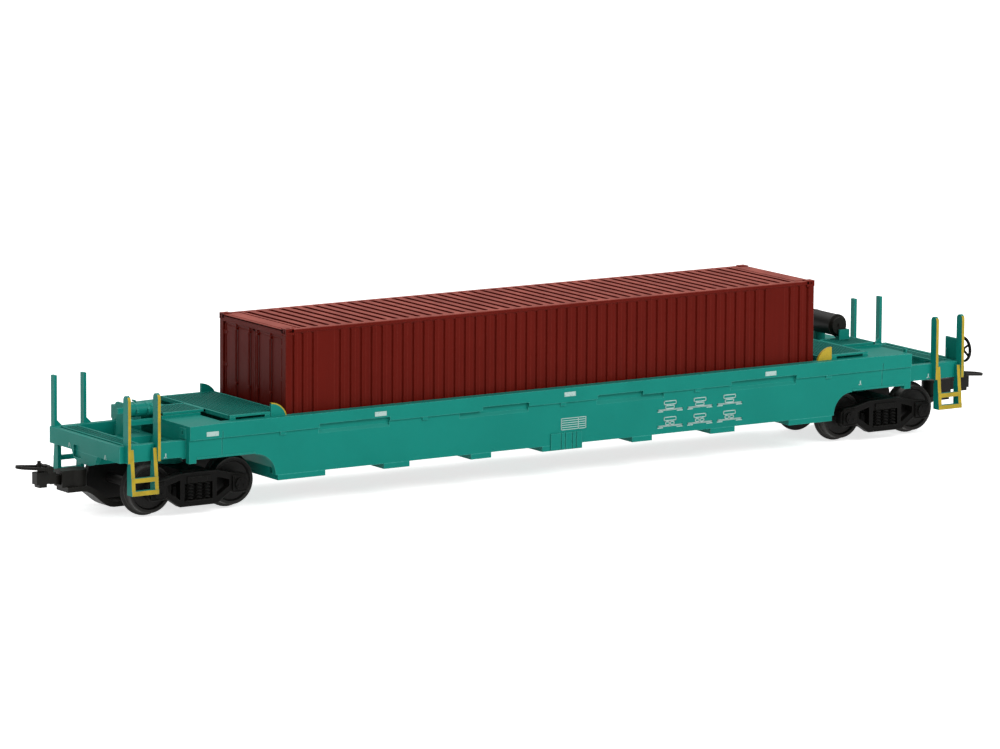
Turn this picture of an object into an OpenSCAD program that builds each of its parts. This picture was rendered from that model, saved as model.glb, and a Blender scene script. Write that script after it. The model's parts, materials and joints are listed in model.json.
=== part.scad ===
// Well wagon with a 40 ft container, a 1:87 scale model.
// X runs along the wagon, Y across it, Z up; the flanges stand on Z = 0.

/* [Container] */
// Length of the container
container_l = 140.1; // [110:0.5:170]
// Width of the container
container_w = 28; // [23:0.5:34]
// Height of the container
container_h = 29.8; // [24:0.2:36]
// Thickness of the container's walls
wall_t = 1; // [0.6:0.1:1.6]
// Length and height of a corner casting
casting = 2; // [1.5:0.1:2.5]

/* [Well and side sills] */
// Gap between the container and each side sill
side_gap = 0.5; // [0.3:0.1:1.5]
// Gap between the container and each bulkhead
end_gap = 0.9; // [0.5:0.1:3]
// Thickness of a side sill's top chord
chord_t = 2.5; // [2:0.1:3.5]
// Thickness of a side sill's web
web_t = 1.4; // [1:0.1:1.8]
// Height of the underside of the well
feet_z = 6.35; // [5.5:0.05:8]
// Height of the container's seat
seat_z = 8.85; // [8.4:0.05:11]
// Height of the side sills' top
sill_top_z = 20.2; // [18.8:0.1:23]
// Height of the top chord
chord_h = 3.2; // [2.6:0.1:4.4]

/* [Ends] */
// Distance from the well's bulkhead to the bogie's pivot
pivot_room = 20.3; // [18:0.1:26]
// Distance from the end beam's face to the bogie's pivot
overhang = 20.7; // [20:0.1:26]
// Height of the end decks
deck_z = 16.9; // [16:0.1:18.5]
// Half the width of the end frames
end_y = 15.2; // [13.5:0.1:15.2]
// Depth of the end beams
beam_h = 3.6; // [2.5:0.1:3.8]
// Height of the ladder posts' tops
post_top_z = 27.85; // [24:0.1:34]
// Distance between the middles of a ladder's posts
ladder_w = 7.3; // [5.5:0.1:8]
// Diameter of the air reservoir
tank_d = 5; // [4:0.1:6]
// Diameter of the brake wheel
brake_wheel_d = 6; // [4.5:0.1:7]

/* [Running gear] */
// Distance between a bogie's axles
wheelbase = 20.4; // [19:0.1:24]
// Diameter of a wheel's tread
tread_d = 10.5; // [9.5:0.1:11]
// Depth of a wheel's flange
flange_h = 0.7; // [0.5:0.05:0.9]
// Distance between the backs of a pair of wheels
back_to_back = 14.4; // [14:0.1:15]
// Running clearance round a journal or a pin
run_gap = 0.06; // [0.03:0.01:0.1]

/* [Hidden] */
$fn = 32;

car_teal = [0.13, 0.55, 0.47];
oxide_red = [0.4, 0.11, 0.08];
black_plastic = [0.16, 0.15, 0.14];
wheel_metal = [0.35, 0.33, 0.3];

// Along the wagon
well_half = container_l / 2 + end_gap;
pivot_x = well_half + pivot_room;
body_half = pivot_x + overhang;
sill_end = 4.4;
box_out_x = pivot_x + sill_end;
box_in_x = pivot_x - 5.2;
// Across the wagon
inner_y = container_w / 2 + side_gap;
outer_y = inner_y + chord_t;
chord_proud = 0.4;
web_out_y = outer_y - chord_proud;
web_in_y = web_out_y - web_t;
// Heights
axle_z = tread_d / 2 + flange_h;
flange_r = axle_z;
// The arch over each inner wheel starts clear of the wheel's flange
wheel_room = 1.55;
arch_foot_x = pivot_x - wheelbase / 2 - flange_r - wheel_room;
arch_top_x = arch_foot_x + 5.5;
plate_low_z = feet_z + 1.2;
pan_z = 12.95;
pan_t = 0.95;
arch_z = 12.75;
chord_low_z = sill_top_z - chord_h;
end_sill_z = sill_top_z - 0.2;
roof_z = seat_z + container_h;
grating_t = 0.55;
grating_top_z = sill_top_z + 1;
grating_low_z = grating_top_z - grating_t;
// Radius of the arch in each side sill over the inner wheels
arch_r = arch_top_x - arch_foot_x - 0.5;
grating_end_x = box_in_x - 1.45;

// Feet under the well: centre and length along X
feet = [[-43.3, 6.6], [-21.4, 5.3], [0, 10.6], [21.4, 5.3], [43.3, 6.6]];
// Half the well's length for which those are given; they move in step with it
feet_half = 70.95;
end_foot_l = 12;

module at_end(side) {
    if (side > 0) children();
    else mirror([1, 0, 0]) children();
}
module at_side(side) {
    if (side > 0) children();
    else mirror([0, 1, 0]) children();
}
module slab(x0, x1, y0, y1, z0, z1) {
    translate([x0, y0, z0]) cube([x1 - x0, y1 - y0, z1 - z0]);
}
// Extrudes an outline drawn in X and Z over y0 to y1
module along_y(y0, y1) {
    translate([0, y1, 0]) rotate([90, 0, 0]) linear_extrude(y1 - y0) children();
}
// Extrudes an outline drawn in Y and Z over x0 to x1
module along_x(x0, x1) {
    translate([x0, 0, 0]) rotate([90, 0, 90]) linear_extrude(x1 - x0) children();
}

// ---------- side sills
lug_pitch = well_half * 0.51;
pocket_w = 18;
pocket_deep = 0.45;
// Pockets: middle along X in lug pitches, and the stretch of the upper notch from its inner end
pockets = [[0.5, 12.2], [1.5, pocket_w]];
notch_z = chord_low_z + 0.85;
scoop_z = chord_low_z - 1.3;
lug_w = 1.4;
seam_w = 0.16;
seam_x = box_in_x + 1.4;
pad_l = 1.7;
pad_h = 0.8;
module half_web() {
    polygon([
        [0, plate_low_z], [arch_top_x, plate_low_z], [arch_top_x, arch_z], [box_out_x, arch_z],
        [box_out_x, end_sill_z], [box_in_x, sill_top_z], [0, sill_top_z]
    ]);
}
// A scooped pocket under the chord: its floor slopes out to the web's face
module pocket() {
    along_x(-pocket_w / 2, pocket_w / 2) polygon([
        [web_out_y - pocket_deep, chord_low_z], [outer_y + 1, chord_low_z],
        [outer_y + 1, scoop_z], [web_out_y, scoop_z], [web_out_y - pocket_deep, scoop_z + 0.7]
    ]);
}
module side_sill() {
    color(car_teal) for (m = [0, 1]) mirror([m, 0, 0]) difference() {
        union() {
            along_y(web_in_y, web_out_y) half_web();
            // The top chord stands proud of the web on both faces
            along_y(inner_y, outer_y) polygon([
                [0, chord_low_z], [box_out_x, chord_low_z], [box_out_x, end_sill_z],
                [box_in_x, sill_top_z], [0, sill_top_z]
            ]);
            // Jacking pad under the sill's end
            slab(box_out_x - pad_l, box_out_x, web_in_y, web_out_y, arch_z - pad_h, arch_z);
            for (k = [0, 1, 2])
                slab(max(0, k * lug_pitch - lug_w / 2), k * lug_pitch + lug_w / 2,
                    web_out_y, web_out_y + 0.3, chord_low_z - lug_w / 2, chord_low_z);
        }
        translate([arch_top_x, web_out_y + 1, plate_low_z]) rotate([90, 0, 0])
            cylinder(r = arch_r, h = web_t + 2);
        for (p = pockets) translate([p[0] * lug_pitch, 0, 0]) {
            pocket();
            slab(-pocket_w / 2, p[1] - pocket_w / 2, web_out_y - pocket_deep, outer_y + 1,
                chord_low_z, notch_z);
        }
        // Seam where the end casting meets the long sill
        slab(seam_x, seam_x + seam_w, web_out_y - seam_w, outer_y + 1, arch_z, end_sill_z - 1.5);
    }
}

// ---------- well
ledge_w = 2;
module foot(x0, x1) {
    along_x(x0, x1) polygon([
        [-web_out_y, feet_z], [web_out_y, feet_z], [web_out_y, plate_low_z],
        [web_in_y - ledge_w, plate_low_z], [web_in_y - ledge_w, seat_z],
        [ledge_w - web_in_y, seat_z], [ledge_w - web_in_y, plate_low_z], [-web_out_y, plate_low_z]
    ]);
}
module cross_bearers() {
    color(car_teal) for (f = feet) {
        x = f[0] * well_half / feet_half;
        foot(x - f[1] / 2, x + f[1] / 2);
    }
    // The end feet reach to the wheel arches
    color(car_teal) for (s = [-1, 1]) at_end(s) foot(arch_foot_x - end_foot_l, arch_foot_x);
}
module well_ledges() {
    color(car_teal) for (s = [-1, 1]) at_side(s)
        slab(-well_half, well_half, web_in_y - ledge_w, web_in_y, plate_low_z, seat_z);
}
bulkhead_t = 1.2;
module bulkhead(side) {
    color(car_teal) at_end(side) {
        // The upper wall stands between the chords, the lower one between the webs
        slab(well_half, well_half + bulkhead_t, -inner_y, inner_y, chord_low_z, grating_low_z);
        along_y(-web_in_y, web_in_y) polygon([
            [well_half, seat_z], [well_half, chord_low_z], [well_half + bulkhead_t, chord_low_z],
            [well_half + bulkhead_t, pan_z + pan_t], [box_in_x, pan_z + pan_t], [box_in_x, pan_z],
            [arch_top_x, pan_z], [arch_top_x - 2, pan_z - 0.3], [arch_top_x - 3.8, pan_z - 1.7],
            [arch_top_x - arch_r - 0.4, seat_z]
        ]);
    }
}
guide_t = 0.6;
guide_r = 4;
guide_x = well_half + 3.4;
module container_guides(side) {
    // Each fin falls away towards the container in a full curve
    color(car_teal) at_end(side) for (s = [-1, 1]) at_side(s)
        along_y(inner_y, inner_y + guide_t) intersection() {
            translate([guide_x, sill_top_z - 1.1]) circle(r = guide_r);
            translate([guide_x - guide_r, sill_top_z]) square([guide_r, guide_r]);
        }
}

// ---------- ends
pin_r = 1;
boss_r = 3.2;
boss_z = 9.62;
bolster_plate = 1;
bolster_rib_y = 4;
module bolster(side) {
    color(car_teal) at_end(side) difference() {
        union() {
            slab(box_in_x, box_out_x, -web_in_y, web_in_y, pan_z, pan_z + pan_t);
            for (s = [-1, 1]) at_side(s) {
                slab(box_in_x, box_out_x, bolster_rib_y, inner_y, end_sill_z - bolster_plate, end_sill_z);
                slab(box_out_x - bolster_plate, box_out_x, bolster_rib_y, inner_y, pan_z, end_sill_z);
                slab(box_in_x, box_in_x + bolster_plate, bolster_rib_y, inner_y, pan_z, end_sill_z);
                slab(box_in_x, box_out_x, bolster_rib_y, bolster_rib_y + bolster_plate, pan_z, grating_low_z);
            }
            translate([pivot_x, 0, boss_z]) cylinder(r = boss_r, h = pan_z + pan_t + 2 - boss_z);
        }
        translate([pivot_x, 0, boss_z - 1]) cylinder(r = pin_r, h = 6);
    }
}
draft_half = 1.9;
draft_z = 10.85;
draft_top_z = deck_z - 0.8;
// The beam's deep middle: half width at the top and lower down
apron = [5.6, 4.6];
apron_z = 11.6;
// A shallow recess in the far half of the beam's face
recess_y = [1.5, 4.7];
recess_z = [11.9, 14.5];
beam_t = 1.05;
beam_in_x = body_half - beam_t;
beam_low_z = deck_z - beam_h;
stringer_t = 1.6;
module end_frame(side) {
    color(car_teal) at_end(side) {
        difference() {
            slab(beam_in_x, body_half, -end_y, end_y, beam_low_z, deck_z);
            beam_recess();
        }
        for (s = [-1, 1]) at_side(s) {
            slab(box_out_x, beam_in_x, end_y - stringer_t, end_y, beam_low_z, deck_z);
            slab(box_out_x, box_out_x + 1, draft_half, end_y, pan_z, draft_top_z);
        }
    }
}
module beam_recess() {
    slab(body_half - 0.5, body_half + 1, recess_y[0], recess_y[1], recess_z[0], recess_z[1]);
}
module draft_sill(side) {
    color(car_teal) at_end(side) {
        slab(box_out_x, beam_in_x, -draft_half, draft_half, draft_z, draft_top_z);
        difference() {
            along_x(beam_in_x, body_half) polygon([
                [-apron[0], beam_low_z], [-apron[1], apron_z], [-draft_half - 0.4, draft_z],
                [draft_half + 0.4, draft_z], [apron[1], apron_z], [apron[0], beam_low_z]
            ]);
            beam_recess();
        }
    }
}
walk_w = 4.1;
walk_slot = 0.9;
module end_walkway(side) {
    color(car_teal) at_end(side)
        slab(beam_in_x - walk_w - walk_slot, beam_in_x - walk_slot, stringer_t - end_y,
            end_y - stringer_t, deck_z - grating_t, deck_z);
}
// The end with the reservoir has a shorter centre walkway
module centre_walkway(side) {
    color(car_teal) at_end(side)
        slab(grating_end_x, box_out_x - (side > 0 ? 1.4 : 0), -4.6, 4.6, grating_low_z, grating_top_z);
}
// The grating stands a little above the side sills, on a bracket at each corner
grating_y = inner_y + 0.5;
bracket_l = 1.4;
module top_grating(side) {
    notch_x = guide_x + 0.1;
    color(car_teal) at_end(side) {
        slab(well_half, notch_x, -inner_y, inner_y, grating_low_z, grating_top_z);
        slab(notch_x, grating_end_x, -grating_y, grating_y, grating_low_z, grating_top_z);
        slab(grating_end_x - 0.6, grating_end_x, -inner_y, inner_y, grating_low_z - 1, grating_low_z);
        for (s = [-1, 1], x = [notch_x, grating_end_x - bracket_l]) at_side(s)
            slab(x, x + bracket_l, inner_y, grating_y, sill_top_z, grating_low_z);
    }
}

// ---------- ladders
post_w = 0.7;
post_out_y = end_y + 1.5;
post_r = 1.05;
stile_w = 0.9;
stile_top_y = end_y + 1;
stile_low_y = end_y + 2;
ladder_low_z = 6.3;
rung_h = 1;
rung_pitch = 2.75;
ladder_x = body_half - 1.55;
gusset = 1.5;
// Stiles hang just inside the posts and lean outwards to the foot
module stile(x0) {
    along_x(x0, x0 + stile_w) polygon([
        [end_y, deck_z - 0.7], [stile_top_y, deck_z - 0.7], [stile_low_y, ladder_low_z],
        [end_y - 0.2, ladder_low_z], [end_y - 0.2, beam_low_z - 1], [end_y, beam_low_z - 1]
    ]);
}
module ladder(side, front) {
    color(car_teal) at_end(side) at_side(front) {
        for (x = [ladder_x, ladder_x - ladder_w]) {
            // Posts on the far side are slim and square, those on the near side deep and rounded
            if (front > 0) {
                slab(x - post_w / 2, x + post_w / 2, end_y, post_out_y, beam_low_z, post_top_z);
                along_y(end_y, end_y + 0.6)
                    polygon([[x, deck_z], [x - gusset, deck_z], [x, deck_z + gusset]]);
            } else {
                slab(x - post_w / 2, x + post_w / 2, end_y, post_out_y, beam_low_z, deck_z);
                slab(x - post_w / 2, x + post_w / 2, post_out_y - 2 * post_r, post_out_y,
                    deck_z, post_top_z - post_r);
                translate([x - post_w / 2, post_out_y - post_r, post_top_z - post_r])
                    rotate([0, 90, 0]) cylinder(r = post_r, h = post_w);
            }
        }
        stile(ladder_x - post_w / 2 - stile_w);
        stile(ladder_x - ladder_w + post_w / 2);
        for (z = [ladder_low_z, ladder_low_z + rung_pitch])
            slab(ladder_x - ladder_w + post_w / 2, ladder_x - post_w / 2,
                end_y + 0.8, stile_low_y - 0.1 * (z - ladder_low_z), z, z + rung_h);
    }
}

// ---------- brake gear and air reservoir
cylinder_d = 3;
cylinder_z = 21.6;
cylinder_x = box_out_x + 6.7;
module brake_cylinder() {
    color(car_teal) translate([-cylinder_x, 0, cylinder_z]) rotate([0, 90, 0]) {
        cylinder(d = cylinder_d, h = cylinder_x - box_out_x);
        cylinder(d = cylinder_d + 0.4, h = 0.5);
    }
}
module brake_cylinder_bracket() {
    color(car_teal) difference() {
        slab(-cylinder_x - 0.6, -cylinder_x, -2.8, 2, draft_top_z, cylinder_z + 1.8);
        slab(-cylinder_x - 1, -cylinder_x + 1, -2.1, -1.7, draft_top_z + 1.5, cylinder_z + 1);
    }
    color(car_teal) slab(-cylinder_x - 2.9, -cylinder_x - 0.6, -2.8, -2.2, cylinder_z, cylinder_z + 1.2);
}
tank_x = box_in_x + 3.2;
tank_z = 24.4;
tank_y = [2.5, 15];
saddle_t = 1.4;
// Distance of each saddle's near face along Y, and the height that it stands on
saddles = [[1.9, grating_top_z], [11.4, end_sill_z]];
module air_reservoir() {
    dish = 1;
    half = (tank_y[1] - tank_y[0]) / 2;
    color(black_plastic) translate([tank_x, tank_y[0] + half, tank_z]) rotate([90, 0, 0]) union() {
        cylinder(d = tank_d, h = 2 * (half - dish), center = true);
        cylinder(d = tank_d - 1.1, h = 2 * half, center = true);
        for (m = [0, 1]) mirror([0, 0, m]) translate([0, 0, half - dish])
            cylinder(d1 = tank_d, d2 = tank_d - 1.1, h = dish * 0.7);
    }
}
module reservoir_saddles() {
    color(car_teal) difference() {
        for (s = saddles) slab(tank_x - 0.4, tank_x + 2.4, s[0], s[0] + saddle_t, s[1], tank_z - 0.9);
        translate([tank_x, tank_y[1], tank_z]) rotate([90, 0, 0])
            cylinder(d = tank_d, h = tank_y[1] - tank_y[0] + 0.1);
    }
}
housing_y = [-15, -9.2];
housing_top_z = 21.9;
brake_wheel_y = -13.5;
brake_wheel_z = 19.2;
brake_wheel_rim = 0.5;
module brake_housing() {
    color(car_teal) slab(beam_in_x, body_half - 0.4, housing_y[0], housing_y[1], deck_z, housing_top_z);
}
module brake_wheel() {
    rim_in = brake_wheel_d / 2 - brake_wheel_rim;
    color(black_plastic) translate([body_half - 0.4, brake_wheel_y, brake_wheel_z]) rotate([0, 90, 0]) {
        cylinder(r = 0.5, h = 1.6);
        translate([0, 0, 1]) {
            difference() {
                cylinder(d = brake_wheel_d, h = 0.5);
                translate([0, 0, -1]) cylinder(r = rim_in, h = 3);
            }
            for (a = [0, 60, 120]) rotate(a)
                translate([-rim_in - 0.1, -0.2, 0.05]) cube([2 * rim_in + 0.2, 0.4, 0.4]);
        }
    }
}

// ---------- container
box_half = container_l / 2;
box_y = container_w / 2;
// The corner castings stand proud of the roof and of the floor
proud = 0.15;
floor_t = 1.2;
roof_t = 1;
wall_low_z = seat_z + proud + floor_t;
wall_top_z = roof_z - proud - roof_t;
module container_side(front) {
    color(oxide_red) at_side(front)
        slab(-box_half + wall_t, box_half - wall_t, box_y - wall_t, box_y, wall_low_z, wall_top_z);
}
module container_roof() {
    color(oxide_red) slab(-box_half, box_half, -box_y, box_y, wall_top_z, roof_z - proud);
}
module container_floor() {
    color(oxide_red) slab(-box_half, box_half, -box_y, box_y, seat_z + proud, wall_low_z);
}
module container_front_wall() {
    color(oxide_red) slab(box_half - wall_t, box_half, -box_y, box_y, wall_low_z, wall_top_z);
}
module container_door(front) {
    color(oxide_red) at_side(front)
        slab(-box_half, -box_half + wall_t, 0, box_y, wall_low_z, wall_top_z);
}
module container_castings() {
    color(oxide_red) for (x = [-1, 1], y = [-1, 1]) at_end(x) at_side(y) {
        slab(box_half - casting, box_half, box_y - casting, box_y, roof_z - proud, roof_z);
        slab(box_half - casting, box_half, box_y - casting, box_y, seat_z, seat_z + proud);
    }
}

// ---------- bogies
arm_half_y = 2.5;
arm_top_z = 2.5;
arm_t = 1.1;
frame_in_y = 11.2;
frame_out_y = 13;
bolster_half = 3;
bolster_top = 9.5;
frame_low_z = 2;
journal_r = 0.6;
journal_box = 1.8;
spring_back = 0.9;
module side_frame() {
    w = wheelbase / 2;
    difference() {
        union() {
            // Outline of one cast side frame, with its top chord humped over the bolster
            along_y(frame_in_y, frame_out_y) for (m = [0, 1]) mirror([m, 0]) polygon([
                [0, frame_low_z], [4.6, frame_low_z], [w - 2.2, 4.3], [w - 1.6, 3.9], [w + 1.6, 3.9],
                [w + 2.3, 4.7], [w + 2.3, 7.3], [w + 1.4, 8], [w - 1.6, 8.3], [4.6, 9.3], [0, 9.4]
            ]);
            for (x = [-w, w]) {
                slab(x - journal_box, x + journal_box, frame_out_y, frame_out_y + 0.4, 4.5, 7.8);
                translate([x, frame_out_y + 0.9, axle_z]) rotate([90, 0, 0]) cylinder(r = 1.3, h = 1);
            }
        }
        // Triangular windows, and the pocket of the spring nest
        for (m = [0, 1]) mirror([m, 0, 0]) along_y(frame_in_y - 1, frame_out_y + 1)
            polygon([[4.5, 7.9], [w - 2.5, 7], [w - 2.5, 5.6], [4.5, 3.5]]);
        slab(-3.5, 3.5, frame_in_y + spring_back, frame_out_y + 1, 3.1, 7);
        for (x = [-w, w]) translate([x, 12.4, axle_z]) rotate([90, 0, 0])
            cylinder(r = journal_r + run_gap, h = 3);
    }
}
module bogie_frame(side) {
    color(black_plastic) at_end(side) translate([pivot_x, 0, 0]) difference() {
        union() {
            side_frame();
            mirror([0, 1, 0]) side_frame();
            slab(-bolster_half, bolster_half, -frame_in_y, frame_in_y, 6.1, bolster_top);
            slab(-bolster_half, bolster_half, -3.4, 3.4, arm_top_z, 6.1);
        }
        translate([0, 0, 5]) cylinder(r = pin_r + run_gap, h = 6);
        translate([0, 0, 2]) cylinder(r = 2.2, h = 4.1);
    }
}
module pivot_pin(side) {
    color(wheel_metal) at_end(side) translate([pivot_x, 0, 0]) {
        translate([0, 0, 5.2]) cylinder(r = 1.7, h = 0.84);
        translate([0, 0, 6]) cylinder(r = pin_r, h = pan_z - 6);
    }
}
axle_half = 12.3;
module wheelset(x) {
    half = back_to_back / 2;
    tread = tread_d / 2;
    // Radius and distance from the middle of the axle, from the wheel's back to the journal's tip
    profile = [
        [1, half], [flange_r, half], [flange_r, half + 0.4], [tread, half + 0.8], [tread - 0.08, half + 2.8],
        [tread - 0.8, half + 2.8], [tread - 1.1, half + 2.3], [1.8, half + 2.2], [1.6, half + 3],
        [journal_r, half + 3], [journal_r, axle_half]
    ];
    last = len(profile) - 1;
    color(wheel_metal) translate([x, 0, axle_z]) rotate([-90, 0, 0]) rotate_extrude() polygon(concat(
        [[0, -axle_half]], [for (i = [last:-1:0]) [profile[i][0], -profile[i][1]]], profile, [[0, axle_half]]
    ));
}

// ---------- couplers
// All along X from the bogie's pivot
coupler_pin_x = 22.8;
box_far_x = 27.15;
box_half_y = 1.8;
box_low_z = 6.6;
box_top_z = 10.2;
draw_z = 8.2;
shank_half = 0.55;
shank_z = 1;
arm_bend = [14.5, 22.2];
arm_steps = 8;
function arm_rise(i) = (1 - cos(180 * i / arm_steps)) / 2;
// Middle line of the curved stretch of the arm, from under the axle up to the box
arm_line = [for (i = [0:arm_steps]) [
    arm_bend[0] + (arm_bend[1] - arm_bend[0]) * i / arm_steps,
    arm_top_z - arm_t / 2 + (box_low_z - arm_top_z) * arm_rise(i)
]];
module coupler_arm(side) {
    color(black_plastic) at_end(side) translate([pivot_x, 0, 0]) difference() {
        union() {
            along_y(-arm_half_y, arm_half_y) polygon(concat(
                [[-bolster_half, arm_top_z - arm_t]],
                [for (p = arm_line) [p[0] + arm_t * 0.3, p[1] - arm_t / 2]],
                [[box_far_x - 1, box_low_z - arm_t], [box_far_x - 1, box_low_z]],
                [for (i = [arm_steps:-1:0]) [arm_line[i][0] - arm_t * 0.3, arm_line[i][1] + arm_t / 2]],
                [[-bolster_half, arm_top_z]]
            ));
            slab(coupler_pin_x, box_far_x, -box_half_y, box_half_y, box_low_z, box_top_z);
            translate([coupler_pin_x, 0, box_low_z]) cylinder(r = 2.3, h = box_top_z - box_low_z);
        }
        // Room for the coupler's shank to swing in
        translate([0, 0, draw_z - shank_z - 0.1]) linear_extrude(2 * shank_z + 0.2) {
            translate([coupler_pin_x, 0]) circle(r = 1.7);
            polygon([
                [coupler_pin_x, -1.2], [box_far_x + 1, -1.4], [box_far_x + 1, 1.4], [coupler_pin_x, 1.2]
            ]);
        }
        cylinder(r = 1.9, h = 5);
    }
    color(wheel_metal) at_end(side) translate([pivot_x + coupler_pin_x, 0, draw_z - shank_z - 0.1])
        cylinder(r = 0.6, h = 2 * shank_z + 0.2);
}
head_x = [29.45, 32.95];
head_half = 1.05;
hinge_x = 30.4;
hinge_z = 10.95;
hinge_r = 0.35;
loop_half = 2.6;
loop_bar = 0.6;
module coupler(side) {
    color(black_plastic) at_end(side) translate([pivot_x, 0, 0]) difference() {
        union() {
            translate([coupler_pin_x, 0, draw_z - shank_z]) cylinder(r = 1.2, h = 2 * shank_z);
            slab(coupler_pin_x, box_far_x + 0.9, -shank_half, shank_half, draw_z - shank_z, draw_z + shank_z);
            slab(box_far_x + 0.9, head_x[0], -0.75, 0.75, 7.4, 10);
            slab(head_x[0], head_x[1], -head_half, head_half, 7.6, 10.2);
            slab(head_x[0] + 1, head_x[1] - 0.6, -head_half, head_half, 6.9, 7.6);
            // Ear and cross pin of the loop, and the hook post
            slab(hinge_x - 0.7, hinge_x + 0.7, -head_half, head_half, 10.2, hinge_z + 0.7);
            translate([hinge_x, loop_half, hinge_z]) rotate([90, 0, 0])
                cylinder(r = hinge_r, h = 2 * loop_half);
            translate([31.8, 0, 10.2]) cylinder(r = 0.4, h = 2.4);
        }
        translate([coupler_pin_x, 0, draw_z - 2]) cylinder(r = 0.6 + run_gap, h = 4);
    }
}
loop_tip_x = 5.35;
loop_tip_r = 1.65;
// The loop's outline, smaller all round by inset
module loop_outline(inset) {
    polygon([
        [-hinge_r - 0.4 - inset, loop_half - inset], [loop_tip_x, loop_tip_r - inset],
        [loop_tip_x, inset - loop_tip_r], [-hinge_r - 0.4 - inset, inset - loop_half]
    ]);
    translate([loop_tip_x, 0]) circle(r = loop_tip_r - inset);
}
module coupler_loop(side) {
    tilt = side > 0 ? -6 : 6.5;
    color(black_plastic) at_end(side) translate([pivot_x + hinge_x, 0, hinge_z]) rotate([0, -tilt, 0]) {
        difference() {
            translate([0, 0, -loop_bar / 2]) linear_extrude(loop_bar) loop_outline(0);
            translate([0, 0, -loop_bar]) linear_extrude(2 * loop_bar) loop_outline(loop_bar);
            translate([-1, -loop_half, -loop_bar]) cube([1.9, 2 * loop_half, 2 * loop_bar]);
        }
        // Eyes round the cross pin
        for (s = [-1, 1]) at_side(s) difference() {
            union() {
                translate([0, loop_half, 0]) rotate([90, 0, 0]) cylinder(r = 0.8, h = 0.7);
                slab(0, 1, loop_half - 0.72, loop_half - 0.12, -loop_bar / 2, loop_bar / 2);
            }
            translate([0, loop_half + 1, 0]) rotate([90, 0, 0]) cylinder(r = hinge_r + run_gap, h = 3);
        }
    }
}

at_side(-1) side_sill();  // side_sill_near
side_sill();  // side_sill_far
cross_bearers();
well_ledges();
bulkhead(-1);  // bulkhead_left
bulkhead(1);  // bulkhead_right
bolster(-1);  // bolster_left
bolster(1);  // bolster_right
end_frame(-1);  // end_frame_left
end_frame(1);  // end_frame_right
draft_sill(-1);  // draft_sill_left
draft_sill(1);  // draft_sill_right
top_grating(-1);  // top_grating_left
top_grating(1);  // top_grating_right
end_walkway(-1);  // end_walkway_left
end_walkway(1);  // end_walkway_right
centre_walkway(-1);  // centre_walkway_left
centre_walkway(1);  // centre_walkway_right
container_guides(-1);  // container_guides_left
container_guides(1);  // container_guides_right
ladder(-1, -1);  // ladder_left_near
ladder(-1, 1);  // ladder_left_far
ladder(1, -1);  // ladder_right_near
ladder(1, 1);  // ladder_right_far
brake_cylinder();
brake_cylinder_bracket();
air_reservoir();
reservoir_saddles();
brake_housing();
brake_wheel();
container_side(-1);  // container_side_near
container_side(1);  // container_side_far
container_roof();
container_front_wall();
container_door(-1);  // container_door_near
container_door(1);  // container_door_far
container_floor();
container_castings();
pivot_pin(-1);  // pivot_pin_left
pivot_pin(1);  // pivot_pin_right
bogie_frame(-1);  // bogie_frame_left
bogie_frame(1);  // bogie_frame_right
coupler_arm(-1);  // coupler_arm_left
coupler_arm(1);  // coupler_arm_right
wheelset(-pivot_x - wheelbase / 2);  // wheelset_left_outer
wheelset(-pivot_x + wheelbase / 2);  // wheelset_left_inner
wheelset(pivot_x - wheelbase / 2);  // wheelset_right_inner
wheelset(pivot_x + wheelbase / 2);  // wheelset_right_outer
coupler(-1);  // coupler_left
coupler(1);  // coupler_right
coupler_loop(-1);  // coupler_loop_left
coupler_loop(1);  // coupler_loop_right
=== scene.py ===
# %% [markdown]
# # A model well wagon with its container
# This script dresses a finished CAD model: a 1:87 double-stack well wagon with one container in its well.
# The CAD frame gives every piece's size and place, so this file adds only finish and fine detail.
# It loads the frame first, because every later position is read from it.

import json
import math

import bmesh
import bpy
from mathutils import Matrix, Vector
from mathutils.geometry import tessellate_polygon


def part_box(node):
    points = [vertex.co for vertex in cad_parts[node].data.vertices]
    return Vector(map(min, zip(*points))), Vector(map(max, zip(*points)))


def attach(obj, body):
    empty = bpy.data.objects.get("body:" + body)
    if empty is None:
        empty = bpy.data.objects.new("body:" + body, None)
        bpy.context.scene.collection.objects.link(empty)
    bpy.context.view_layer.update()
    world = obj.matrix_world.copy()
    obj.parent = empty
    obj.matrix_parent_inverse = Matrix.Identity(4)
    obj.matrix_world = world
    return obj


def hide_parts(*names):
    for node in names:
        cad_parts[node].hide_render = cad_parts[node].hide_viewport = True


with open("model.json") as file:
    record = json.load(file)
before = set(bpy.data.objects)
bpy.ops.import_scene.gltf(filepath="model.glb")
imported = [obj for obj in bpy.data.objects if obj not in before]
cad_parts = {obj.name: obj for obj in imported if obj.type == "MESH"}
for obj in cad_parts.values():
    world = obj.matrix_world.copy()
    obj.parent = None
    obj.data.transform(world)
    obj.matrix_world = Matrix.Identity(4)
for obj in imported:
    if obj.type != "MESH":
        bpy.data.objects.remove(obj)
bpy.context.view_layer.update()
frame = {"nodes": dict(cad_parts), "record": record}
MM = 0.001
NEAR, FAR = -1, 1
LEFT, RIGHT = -1, 1


def node_box(name):
    """A CAD node's lowest and highest corners, in millimetres."""
    low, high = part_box(name)
    return Vector(low) / MM, Vector(high) / MM


def add_object(name, data):
    made = bpy.data.objects.new(name, data)
    bpy.context.scene.collection.objects.link(made)
    return made


# %% [markdown]
# ## The camera
# A product picture of a long model is taken from far away with a long lens, so that its two ends look alike.
# The camera stands a little above the roof and to the left, and looks along its own axis, so no shift is needed.

# %% Place the camera
VIEW_FROM = Vector((-807.4, -1226.9, 264.5)) * MM
VIEW_YAW = math.radians(33.16)
VIEW_PITCH = math.radians(9.419)
VIEW_ROLL = math.radians(0.417)
VIEW_LENS = 240.3


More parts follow.
